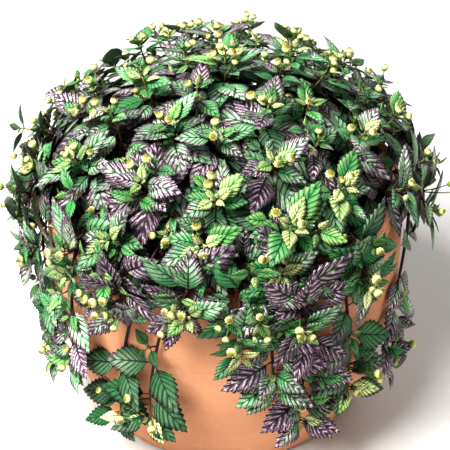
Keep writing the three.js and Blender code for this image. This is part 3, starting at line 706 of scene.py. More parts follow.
class Growth:
    """Gathers all that grows on one stem into a single mesh."""

    LEAF, STEM, HEAD = range(3)

    def __init__(self):
        self.parts = [[] for _ in range(6)]
        self.count = 0

    def add(self, points, corners, totals, pattern, tints, finish):
        finishes = np.full(len(totals), finish, np.int32)
        shape = (points, corners + self.count, totals, pattern, tints, finishes)
        for part, values in zip(self.parts, shape):
            part.append(values)
        self.count += len(points)

    def tube(self, line, radii, sides, young):
        """A closed tube along a line. young is 0 to 1 at each of its points."""
        count = len(line)
        along = np.gradient(line, axis=0)
        along /= np.linalg.norm(along, axis=1)[:, None]
        side = unit(np.cross(along[0], UP if abs(along[0][2]) < 0.9 else np.array((1.0, 0, 0))))
        turns = 2 * np.pi * np.arange(sides) / sides
        rings = []
        for centre, way, radius in zip(line, along, radii):
            side = unit(side - way * (side @ way))
            other = np.cross(way, side)
            rings.append(centre + radius * (np.outer(np.cos(turns), side) + np.outer(np.sin(turns), other)))
        foot = line[0] - along[0] * radii[0] * 0.3
        tip = line[-1] + along[-1] * radii[-1] * 0.6
        points = np.vstack((*rings, foot, tip))
        k = np.arange(sides)
        following = (k + 1) % sides
        wall = np.column_stack((k, following, following + sides, k + sides))
        last_ring = (count - 1) * sides
        faces = [
            *(wall + i * sides for i in range(count - 1)),
            np.column_stack((np.full(sides, count * sides), following, k)),
            np.column_stack((np.full(sides, count * sides + 1), last_ring + k, last_ring + following)),
        ]
        corners = np.hstack([face.ravel() for face in faces]).astype(np.int32)
        totals = np.repeat((4, 3), (last_ring, 2 * sides)).astype(np.int32)
        per_point = np.hstack((np.repeat(young, sides), young[0], young[-1]))
        tints = np.column_stack((per_point, np.zeros((len(points), 3))))
        pattern = np.column_stack((corners % sides / sides, per_point[corners]))
        self.add(points, corners, totals, pattern, tints, self.STEM)

    def leaf(self, leaf, form, purple, youth, blush, light, bend):
        """Copies a blade to its place on a short stalk.

        blush is how purple its outer half is. bend is its droop, its twist and its sideways curve. light is
        painted light and shade that multiplies its colour, lowered towards its tip.
        """
        droop, twist, curve = bend
        length, way, facing = leaf["length"], leaf["way"], leaf["facing"]
        x, y, z = form.points.T
        turn = twist * y
        bent = np.column_stack((
            x * np.cos(turn) - z * np.sin(turn) + curve * y * y,
            y,
            x * np.sin(turn) + z * np.cos(turn) - droop * y * y,
        ))
        base = leaf["start"] + way * leaf["stalk"]
        points = placed(bent, length, base, (leaf["right"], way, facing))
        below, outer = form.shades
        flush = blush * np.clip((outer - BLUSH_FROM) / BLUSH_FADE, 0, 1)
        tints = np.column_stack((
            np.clip(purple + flush, 0, 1),
            youth * (1 - BLUSH_AGEING * flush),
            light * (1 - TIP_SHADE * np.clip((y - TIP_FROM) / TIP_LENGTH, 0, 1)),
            below,
        ))
        self.add(points, form.corners, form.totals, form.pattern, tints, self.LEAF)
        start = leaf["start"] + way * 0.6
        middle = (start + base) / 2 + UP * 0.3
        neck = base + way * 0.06 * length - facing * 0.25
        thick = STALK_RADIUS + STALK_RADIUS * min(length / LEAF_LENGTH, 1)
        radii = (thick * 1.1, thick, thick * 0.5)
        self.tube(np.array((start, middle, neck)), radii, 4, np.full(3, 0.35 * youth))

    def head(self, head, form, size, light):
        """A flower head on its thin stalk."""
        start, way, length = head["start"], head["way"], head["length"]
        end = start + way * length
        middle = (start + end) / 2 - UP * 0.05 * length
        line = bezier(start, start + (middle - start) * 1.1, middle + (end - middle) * 0.2, end, 5)
        self.tube(line, np.linspace(0.6, 0.5, 6), 5, np.linspace(0.1, 0.7, 6))
        side = unit(np.cross(way, UP) + 0.01)
        axes = (side, np.cross(way, side), way)
        points = placed(form.points, HEAD_LENGTH * size, end - way * 0.3, axes)
        knob, height = form.shades
        tints = np.column_stack((height, knob, np.full(len(points), light), np.zeros(len(points))))
        self.add(points, form.corners, form.totals, form.pattern, tints, self.HEAD)

    def mesh(self, name, finishes):
        """The gathered growth as an object at the origin."""
        points, corners, totals, pattern, tints, slots = (np.concatenate(part) for part in self.parts)
        mesh = bpy.data.meshes.new(name)
        mesh.vertices.add(len(points))
        mesh.vertices.foreach_set("co", (points * MM).astype(np.float32).ravel())
        mesh.loops.add(len(corners))
        mesh.loops.foreach_set("vertex_index", corners)
        mesh.polygons.add(len(totals))
        mesh.polygons.foreach_set("loop_start", np.cumsum(totals) - totals)
        mesh.polygons.foreach_set("material_index", slots)
        mesh.polygons.foreach_set("use_smooth", np.ones(len(totals), bool))
        mesh.update(calc_edges=True)
        layer = mesh.uv_layers.new(name="pattern")
        layer.data.foreach_set("uv", pattern.astype(np.float32).ravel())
        tint = mesh.attributes.new("tint", "FLOAT_COLOR", "POINT")
        tint.data.foreach_set("color", tints.astype(np.float32).ravel())
        for finish in finishes:
            mesh.materials.append(finish)
        mesh.validate()
        piece = bpy.data.objects.new(name, mesh)
        bpy.context.scene.collection.objects.link(piece)
        return piece


# Finishes


class Finish:
    """A node material under construction. Its patterns lie in the object's own space, in metres."""

    def __init__(self, name):
        self.material = bpy.data.materials.new(name)
        self.material.use_nodes = True
        self.nodes = self.material.node_tree.nodes
        self.links = self.material.node_tree.links
        self.surface = self.nodes["Principled BSDF"]
        self.place = self.node("ShaderNodeTexCoord").outputs["Object"]

    def node(self, kind, inputs=None, **settings):
        node = self.nodes.new(kind)
        for name, value in settings.items():
            setattr(node, name, value)
        for key, value in (inputs or {}).items():
            self.feed(node.inputs[key], value)
        return node

    def feed(self, socket, value):
        if isinstance(value, bpy.types.NodeSocket):
            self.links.new(value, socket)
        elif socket.type == "RGBA":
            socket.default_value = (*value, 1.0)
        else:
            socket.default_value = value

    def math(self, operation, a, b=0.0, clamp=False):
        return self.node("ShaderNodeMath", {0: a, 1: b}, operation=operation, use_clamp=clamp).outputs[0]

    def plus(self, a, b, clamp=False):
        return self.math("ADD", a, b, clamp)

    def minus(self, a, b):
        return self.math("SUBTRACT", a, b)

    def times(self, a, b, clamp=False):
        return self.math("MULTIPLY", a, b, clamp)

    def blend(self, a, share_a, b, share_b):
        return self.plus(self.times(a, share_a), self.times(b, share_b))

    def zigzag(self, value):
        """Rises from 0 to 1 and falls back in each whole step of a value."""
        return self.times(self.math("PINGPONG", value, 0.5), 2.0)

    def ramp(self, value, low, high):
        inputs = {"Value": value, "From Min": low, "From Max": high}
        return self.node("ShaderNodeMapRange", inputs).outputs["Result"]

    def noise(self, scale, detail=2.0, rough=0.5, place=None):
        inputs = {"Vector": place or self.place, "Scale": scale, "Detail": detail, "Roughness": rough}
        return self.node("ShaderNodeTexNoise", inputs).outputs["Fac"]

    def mix(self, share, a, b, blend="MIX"):
        inputs = {"Factor": share, 6: a, 7: b}
        return self.node("ShaderNodeMix", inputs, data_type="RGBA", blend_type=blend).outputs[2]

    def tones(self, value, *stops):
        """Colours along a value. A stop has a position and a colour."""
        node = self.node("ShaderNodeValToRGB", {0: value})
        elements = node.color_ramp.elements
        elements[0].position = stops[0][0]
        elements[1].position = stops[-1][0]
        for position, _ in stops[1:-1]:
            elements.new(position)
        for element, (_, colour) in zip(elements, stops):
            element.color = (*colour, 1.0)
        return node.outputs[0]

    def tint(self):
        """The four values that each point of the growth carries."""
        tint = self.node("ShaderNodeVertexColor", layer_name="tint").outputs
        return *self.node("ShaderNodeSeparateColor", {0: tint["Color"]}).outputs, tint["Alpha"]

    def bump(self, height, distance, strength=1.0):
        inputs = {"Height": height, "Distance": distance, "Strength": strength}
        self.feed(self.surface.inputs["Normal"], self.node("ShaderNodeBump", inputs).outputs["Normal"])

    def set(self, **sockets):
        for name, value in sockets.items():
            self.feed(self.surface.inputs[name.replace("_", " ")], value)


def leaf_quilting(finish, grain):
    """How far off the midrib a leaf is, and its ridges between the veins: broad, and narrow and broken."""
    pattern = finish.node("ShaderNodeUVMap", uv_map="pattern").outputs[0]
    split = finish.node("ShaderNodeSeparateXYZ", {0: pattern}).outputs
    off_rib = finish.math("ABSOLUTE", finish.minus(split[0], 0.5))
    wobble = finish.times(finish.minus(grain, 0.5), 0.3)
    vein = finish.math("FRACT", finish.plus(finish.math("DIVIDE", split[1], VEIN_UNIT), wobble))
    net_inputs = {"Vector": finish.place, "Scale": 560.0}
    net = finish.node("ShaderNodeTexVoronoi", net_inputs, feature="DISTANCE_TO_EDGE").outputs["Distance"]
    cells = finish.ramp(net, 0.0, 0.25)
    beside_rib = finish.ramp(off_rib, 0.015, 0.06)
    netted = finish.plus(finish.times(cells, 0.45), 0.55)
    nearest = finish.zigzag(vein)
    broad = finish.times(finish.ramp(nearest, 0.06, 0.4), finish.times(beside_rib, netted))
    uneven = finish.ramp(finish.noise(190.0, 3.0), 0.33, 0.6)
    forking = finish.ramp(finish.plus(off_rib, finish.times(uneven, 0.12)), 0.36, 0.46)
    single = finish.math("POWER", finish.ramp(nearest, 0.25, 0.92), 1.6)
    single = finish.times(single, finish.minus(1.0, forking))
    forked = finish.ramp(finish.zigzag(finish.times(vein, 2.0)), 0.4, 1.0)
    crest = finish.plus(single, finish.times(forked, forking))
    netting = finish.ramp(finish.noise(430.0), 0.36, 0.6)
    broken = finish.plus(finish.blend(uneven, 0.35, netting, 0.6), 0.15)
    crest = finish.plus(finish.times(crest, broken), finish.times(cells, 0.1), clamp=True)
    return off_rib, broad, finish.times(crest, beside_rib)


def grown_colours(finish, look, purple, broad, narrow):
    """The colours of a grown leaf, where it is green and where it is purple: pale crests with a painted
    sheen and highlight, over dark veins that are partly their own colour and partly painted shade in their
    grooves.
    """
    silvered = finish.ramp(finish.noise(28.0, 1.0), 0.4, 0.62)
    # Painted sheen on the green crests, strongest on silvered patches and on purple leaves
    painted_sheen = finish.times(finish.plus(silvered, 0.5), finish.plus(purple, 0.08), clamp=True)
    painted_sheen = finish.times(finish.blend(narrow, 0.6, broad, 0.45), painted_sheen, clamp=True)
    green = finish.mix(broad, look.green_vein, look.green_ridge)
    green = finish.mix(painted_sheen, green, look.green_sheen)
    # Painted highlight on the purple crests
    crest_highlight = finish.times(narrow, finish.plus(finish.times(silvered, 0.45), 0.55))
    dark = finish.tones(
        finish.blend(crest_highlight, 0.78, broad, 0.22),
        (0.0, look.purple_vein), (0.3, look.purple_body), (1.0, look.purple_ridge),
    )
    return green, dark


def leaf_finish(look):
    """Quilted leaf: dark along the veins, partly their own colour and partly painted shade in the grooves,
    and pale on the ridges with a painted highlight, green, purple or young.
    """
    finish = Finish("leaf")
    purple, youth, light, below = finish.tint()
    grain = finish.noise(900.0, 3.0, 0.6)
    off_rib, broad, narrow = leaf_quilting(finish, grain)
    green, dark = grown_colours(finish, look, purple, broad, narrow)
    patches = finish.minus(finish.noise(85.0), 0.5)
    outwards = finish.times(finish.minus(off_rib, 0.25), 0.9)
    spread = finish.plus(purple, finish.plus(patches, outwards))
    colour = finish.mix(finish.ramp(spread, 0.42, 0.78), green, dark)
    age = finish.plus(youth, finish.times(finish.minus(off_rib, 0.22), 0.5))
    young = finish.tones(age, (0.15, look.fresh), (0.6, look.bright), (0.95, look.young))
    young = finish.mix(broad, finish.mix(0.88, young, look.green_vein), young)
    colour = finish.mix(finish.ramp(youth, 0.03, 0.3), colour, young)
    colour = finish.mix(below, colour, finish.mix(0.6, colour, look.underside))
    # Painted light and shade: the leaf colour times each point's light value
    light = finish.node("ShaderNodeCombineColor", {0: light, 1: light, 2: light}).outputs[0]
    colour = finish.mix(1.0, colour, light, "MULTIPLY")
    finish.set(Base_Color=colour, Roughness=0.42, Specular_IOR_Level=0.34)
    finish.set(Sheen_Weight=0.05, Sheen_Roughness=0.4)
    finish.bump(finish.plus(broad, finish.times(grain, 0.3)), 0.0008, 0.9)
    return finish.material


def stem_finish(look):
    """Smooth stem: maroon, and green towards its young end."""
    finish = Finish("stem")
    young = finish.tint()[0]
    streaks = finish.ramp(finish.noise(420.0, 3.0), 0.35, 0.7)
    dark = finish.mix(streaks, look.stem, look.stem_light)
    colour = finish.mix(finish.ramp(young, 0.3, 1.0), dark, look.young_stem)
    finish.set(Base_Color=colour, Roughness=0.5, Specular_IOR_Level=0.25)
    finish.bump(finish.noise(1500.0), 0.0002)
    return finish.material


def head_finish(look):
    """Flower head: green bracts, a cream collar of florets with painted shade between them, and a
    yellow-green eye at the top.
    """
    finish = Finish("flower_head")
    height, knob, _, _ = finish.tint()
    colour = finish.tones(
        height, (0.1, look.bract), (0.36, look.bud), (0.5, look.floret), (0.76, look.floret), (0.9, look.eye)
    )
    # Painted shade in the hollows between the florets
    floret_gap_shade = finish.mix(finish.ramp(knob, 0.0, 0.7), look.floret_gap_shade, (1, 1, 1))
    finish.set(Base_Color=finish.mix(0.85, colour, floret_gap_shade, "MULTIPLY"), Roughness=0.6)
    finish.bump(finish.noise(1200.0), 0.0003)
    return finish.material


def clay_finish(look):
    """Unglazed terracotta: fine pits, faint turning lines, darker damp patches and a pale bloom."""
    finish = Finish("terracotta")
    flat = finish.node("ShaderNodeMapping", {"Vector": finish.place, "Scale": (1, 1, 14)}).outputs[0]
    lines = finish.noise(22.0, 3.0, place=flat)
    grain = finish.noise(700.0, 4.0, 0.7)
    cloud = finish.ramp(finish.noise(9.0, 4.0, 0.6), 0.35, 0.68)
    colour = finish.mix(cloud, look.clay, look.clay_light)
    for pattern, low, high, share, over in (
        (lines, 0.45, 0.75, 0.15, look.clay_dark),
        (grain, 0.5, 0.78, 0.35, look.clay_dark),
        (finish.noise(26.0, 6.0, 0.72), 0.56, 0.74, 0.3, look.bloom),
    ):
        colour = finish.mix(finish.times(finish.ramp(pattern, low, high), share), colour, over)
    finish.set(Base_Color=colour, Roughness=0.86, Specular_IOR_Level=0.3)
    finish.bump(finish.blend(lines, 0.6, grain, 0.5), 0.0012, 0.55)
    return finish.material


def soil_finish(look):
    """Damp crumbly potting mix."""
    finish = Finish("potting_soil")
    crumbs = finish.noise(160.0, 5.0, 0.7)
    colour = finish.mix(finish.ramp(crumbs, 0.3, 0.75), look.soil, look.soil_light)
    finish.set(Base_Color=colour, Roughness=0.95)
    finish.bump(crumbs, 0.004)
    return finish.material


def floor_finish(look):
    """Pale matt floor."""
    finish = Finish("pale_floor")
    finish.set(Base_Color=look.floor_colour, Roughness=0.9)
    return finish.material


# Settings


def number_of(name, text, value, **more):
    return FloatProperty(name=name, description=text, default=value, **{"min": 0, **more})


def size_of(name, text, value):
    return number_of(name, text, value * MM, subtype="DISTANCE", unit="LENGTH")


def angle_of(name, text, value, most):
    most = math.radians(most)
    return number_of(name, text, math.radians(value), max=most, subtype="ANGLE", unit="ROTATION")


def share_of(name, text, value, most=1):
    return number_of(name, text, value, max=most, subtype="FACTOR")


def power_of(name, text, value):
    return number_of(name, text, value, subtype="POWER", unit="POWER")


def colour_of(name, text, value):
    return FloatVectorProperty(
        name=name, description=text, default=value, size=3, min=0, max=1, subtype="COLOR"
    )


class HerbPotSettings(bpy.types.PropertyGroup):
    """The clay pot and its soil."""

    height: size_of("Height", "Height of the pot", POT_HEIGHT)
    wall: size_of("Wall", "Thickness of the wall", WALL)
    floor: size_of("Floor", "Thickness of the floor", FLOOR)
    lip: size_of("Lip", "Roundness of the rim", 5)
    soil_lumps: size_of("Soil lumps", "Height of the lumps in the soil", 3.5)
    clay: colour_of("Clay", "Main colour of the clay", (0.5, 0.25, 0.145))
    clay_light: colour_of("Light clay", "Paler patches of the clay", (0.59, 0.31, 0.18))
    clay_dark: colour_of("Dark clay", "Turning lines and pits of the clay", (0.5, 0.2, 0.1))
    bloom: colour_of("Bloom", "Mineral bloom on the clay", (0.78, 0.55, 0.4))
    soil: colour_of("Soil", "Colour of the damp soil", (0.016, 0.01, 0.006))
    soil_light: colour_of("Dry soil", "Colour of the drier crumbs", (0.075, 0.046, 0.028))


class HerbLeafSettings(bpy.types.PropertyGroup):
    """The leaves."""

    ridge: size_of("Quilting", "Height of the ridges between the veins", 0.55)
    tooth: size_of("Teeth", "Depth of the teeth on the margin", 0.95)
    veins: IntProperty(
        name="Veins", description="Side veins in each half of a large leaf", default=9, min=6, max=12
    )
    droop: share_of("Droop", "How far a leaf droops at its tip, as a share of its length", DROOP, 0.6)
    # The vein colours are the leaf's own dark veins with painted shade in their grooves; the sheen and
    # purple ridge colours are painted highlights on the crests
    green_vein: colour_of("Green vein", "Green leaf along its veins", (0.003, 0.042, 0.012))
    green_ridge: colour_of("Green ridge", "Green leaf between its veins", (0.05, 0.26, 0.078))
    green_sheen: colour_of("Green sheen", "Palest streaks of a green leaf", (0.77, 0.8, 0.68))
    purple_vein: colour_of("Purple vein", "Purple leaf along its veins", (0.02, 0.007, 0.022))
    purple_body: colour_of("Purple body", "Purple leaf beside its ridges", (0.115, 0.075, 0.096))
    purple_ridge: colour_of("Purple ridge", "Purple leaf between its veins", (0.9, 0.77, 0.82))
    fresh: colour_of("Fresh leaf", "Emerald leaf that has just opened", (0.02, 0.3, 0.05))
    bright: colour_of("Bright leaf", "Light green young leaf", (0.56, 0.62, 0.28))
    young: colour_of("Youngest leaf", "Pale lime leaf at a shoot's tip", (0.84, 0.82, 0.42))
    underside: colour_of("Underside", "Dull underside of a leaf", (0.3, 0.42, 0.27))


class HerbStemSettings(bpy.types.PropertyGroup):
    """The stems and the flower heads."""

    stem_radius: size_of("Stem radius", "Radius of a stem at its root", 1.5)
    tip_radius: size_of("Tip radius", "Radius of a stem at its tip", 0.8)
    fill_apart: angle_of("Spacing", "Angle between rosettes on the mound", 12.2, 40)
    flowering: share_of("Flowering", "Share of leaf axils with a flower head", 0.5)
    stem: colour_of("Stem", "Dark maroon stem", (0.022, 0.006, 0.01))
    stem_light: colour_of("Stem streaks", "Lighter streaks of the stem", (0.06, 0.014, 0.02))
    young_stem: colour_of("Young stem", "Green end of a stem", (0.22, 0.28, 0.07))
    bract: colour_of("Bracts", "Green bracts under a flower head", (0.13, 0.26, 0.05))
    bud: colour_of("Buds", "Green-yellow buds of a flower head", (0.42, 0.48, 0.14))
    floret: colour_of("Florets", "Cream florets of a flower head", (0.84, 0.82, 0.46))
    # Painted shade between the florets
    floret_gap_shade: colour_of("Hollows", "Shade between the florets", (0.42, 0.42, 0.16))
    eye: colour_of("Eye", "Golden-green top of a flower head", (0.26, 0.23, 0.04))


class HerbStageSettings(bpy.types.PropertyGroup):
    """The floor, the lights and the camera."""

    floor_colour: colour_of("Floor", "Colour of the floor", (0.6, 0.59, 0.575))
    camera_angle: angle_of("Camera angle", "Angle of the camera above the horizon", 34, 90)
    camera_distance: size_of("Camera distance", "From the camera to the point that it looks at", 1040)
    target_height: size_of("Target height", "Height of the point that the camera looks at", 194.7)
    lens: number_of("Lens", "Focal length", 80, min=10, max=300, subtype="DISTANCE_CAMERA", unit="CAMERA")
    key_power: power_of("Key light", "Power of the main light", 95)
    fill_power: power_of("Fill light", "Power of the fill light", 6)
    back_power: power_of("Back light", "Power of the back light", 16)
    sky: number_of("Sky", "Strength of the light from all round", 0.18)


# The pot and its soil

POT_SIDES = 144
POT_CREASE = 40
DRAIN_RADIUS = 7
DRAIN_CIRCLE = 70
DRAIN_COUNT = 3
SOIL_SIDES = 96
SOIL_RINGS = 26
SOIL_CREASE = 60
SOIL_EDGE = 12
SOIL_GAP = 2.4

# The rim's section: how far outside the neck, or outside the wall's inner face, and how many lips down
OUTER_RIM = [(1.3, 2.6), (2.0, 2.0), (2.2, 1.2), (1.6, 0.55), (0.2, 0.15), (-2.0, 0)]
INNER_RIM = [(1.2, 0.1), (-0.2, 0.45), (-0.9, 1.1)]


def finished(piece, node, slot):
    """Puts a new piece in its node's place."""
    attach(piece, "root")
    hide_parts(node)
    return piece


def smooth_by_angle(piece, angle):
    deselect_all()
    piece.select_set(True)
    bpy.ops.object.shade_smooth_by_angle(angle=math.radians(angle))


def ring_profile(settings):
    """The pot's section from its foot, up the wall and over the rim, to its floor inside: radius, height."""
    height, wall = settings.height / MM, settings.wall / MM
    floor, lip = settings.floor / MM, settings.lip / MM
    neck = pot_radius(height - 3 * lip)
    return [
        (BASE_RADIUS - 3.0, 0.0),
        (BASE_RADIUS - 0.8, 0.8),
        *((pot_radius(z), z) for z in np.linspace(3, height - 3 * lip, 20)),
        *((neck + out, height - down * lip) for out, down in OUTER_RIM),
        (neck - 0.6 * wall, height),
        *((neck - wall + out, height - down * lip) for out, down in INNER_RIM),
        *((pot_radius(z) - wall, z) for z in np.linspace(height - 5 * lip, floor + 6, 14)),
        (BASE_RADIUS - wall - 1, floor + 1.5),
        (BASE_RADIUS - wall - 5, floor),
    ]


def thrown(profile):
    """A round pot, drawn up ring by ring along its section."""
    radius, z = profile[0]
    deselect_all()
    bpy.ops.mesh.primitive_circle_add(
        vertices=POT_SIDES, radius=radius * MM, fill_type="NGON", location=(0, 0, z * MM)
    )
    pot = bpy.context.object
    bpy.ops.object.transform_apply(location=True)
    bpy.ops.object.mode_set(mode="EDIT")
    bpy.ops.mesh.select_all(action="SELECT")
    bpy.ops.mesh.flip_normals()
    bpy.ops.mesh.select_all(action="DESELECT")
    bpy.ops.mesh.select_mode(type="EDGE")
    bpy.ops.mesh.select_all(action="SELECT")
    for next_radius, next_z in profile[1:]:
        bpy.ops.mesh.extrude_edges_move(TRANSFORM_OT_translate={"value": (0, 0, (next_z - z) * MM)})
        scale = next_radius / radius
        bpy.ops.transform.resize(value=(scale, scale, 1), center_override=(0, 0, next_z * MM))
        radius, z = next_radius, next_z
    bpy.ops.mesh.edge_face_add()
    bpy.ops.mesh.select_all(action="SELECT")
    bpy.ops.mesh.normals_make_consistent(inside=False)
    bpy.ops.object.mode_set(mode="OBJECT")
    return pot


def bored(piece, radius, depth, centres):
    """Bores round holes through a piece from below."""
    for centre in centres:
        deselect_all()
        bpy.ops.mesh.primitive_cylinder_add(
            vertices=24, radius=radius * MM, depth=depth * MM, location=centre * MM
        )
        drill = bpy.context.object
        cut = piece.modifiers.new("hole", "BOOLEAN")
        cut.operation, cut.solver, cut.object = "DIFFERENCE", "EXACT", drill
        bpy.context.view_layer.objects.active = piece
        bpy.ops.object.modifier_apply(modifier=cut.name)
        bpy.data.objects.remove(drill)


def hand_made(pot):
    """Gives the wall the slight waves and turning lines of a pot made by hand."""
    points = coordinates(pot.data)
    angle, z = np.arctan2(points[:, 1], points[:, 0]), points[:, 2]
    wave = 0.25 * np.sin(3 * angle + 25 * z) + 0.15 * np.sin(z * 560)
    body = (z > 4 * MM) & (np.hypot(points[:, 0], points[:, 1]) > 0.12)
    points[:, :2] *= (1 + np.where(body, wave, 0) * MM / 0.17)[:, None]
    set_coordinates(pot.data, points)


def soil_disc(low, high):
    """A round block of soil whose top is cut into rings."""
    deselect_all()
    bpy.ops.mesh.primitive_cylinder_add(
        vertices=SOIL_SIDES, radius=high.x, depth=high.z - low.z, location=(0, 0, (low.z + high.z) / 2)
    )
    soil = bpy.context.object
    bpy.ops.object.transform_apply(location=True)
    for face in soil.data.polygons:
        face.select = face.normal.z > 0.9
    bpy.ops.object.mode_set(mode="EDIT")
    bpy.ops.mesh.select_mode(type="FACE")
    for _ in range(SOIL_RINGS):
        bpy.ops.mesh.inset(thickness=high.x / (SOIL_RINGS + 1), depth=0)
    bpy.ops.mesh.poke()
    bpy.ops.mesh.select_all(action="SELECT")
    bpy.ops.object.mode_set(mode="OBJECT")
    return soil


def lumps_at(x, y):
    """The lumps of the soil: large ones, and small ones of half their height."""
    large = np.sin(x / 9.1 + 1.3 * np.sin(y / 13)) * np.sin(y / 8.3 + 1.7 * np.sin(x / 11))
    return large + 0.5 * np.sin(x / 3.7 + y / 5.1) * np.sin(y / 3.1 - x / 6.3)


class HERB_OT_clay_pot(bpy.types.Operator):
    """Models the terracotta pot, ring by ring, with its drainage holes"""

    bl_idname = "herb.clay_pot"
    bl_label = "Clay Pot"

    def execute(self, context):
        settings = context.scene.herb_pot
        pot = thrown(ring_profile(settings))
        centres = [compass(360 / DRAIN_COUNT * i, DRAIN_CIRCLE, FLOOR / 2) for i in range(DRAIN_COUNT)]
        bored(pot, DRAIN_RADIUS, 3 * FLOOR, centres)
        hand_made(pot)
        pot.name = pot.data.name = "clay_pot"
        smooth_by_angle(pot, POT_CREASE)
        pot.data.materials.append(clay_finish(settings))
        finished(pot, "pot", "terracotta")
        return {"FINISHED"}


class HERB_OT_soil(bpy.types.Operator):
    """Models the potting soil, lumpy on top, in the pot"""

    bl_idname = "herb.soil"
    bl_label = "Potting Soil"

    def execute(self, context):
        settings = context.scene.herb_pot
        low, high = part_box("soil")
        soil = soil_disc(low, high)
        points = coordinates(soil.data)
        upper = points[:, 2] > high.z - 1e-5
        lower = points[:, 2] < low.z + 1e-5
        lumps = lumps_at(points[:, 0] / MM, points[:, 1] / MM)
        inside = np.clip((high.x - np.hypot(points[:, 0], points[:, 1])) / (SOIL_EDGE * MM), 0, 1)
        points[:, 2] += np.where(upper, settings.soil_lumps * (0.55 * lumps + 0.25) * inside, 0)
        inner_base = (BASE_RADIUS - WALL - SOIL_GAP) * MM
        points[:, :2] *= np.where(lower, inner_base / high.x, 1)[:, None]
        set_coordinates(soil.data, points)
        soil.name = soil.data.name = "potting_soil"
        smooth_by_angle(soil, SOIL_CREASE)
        soil.data.materials.append(soil_finish(settings))
        finished(soil, "soil", "potting_soil")
        return {"FINISHED"}


# The leafy stems


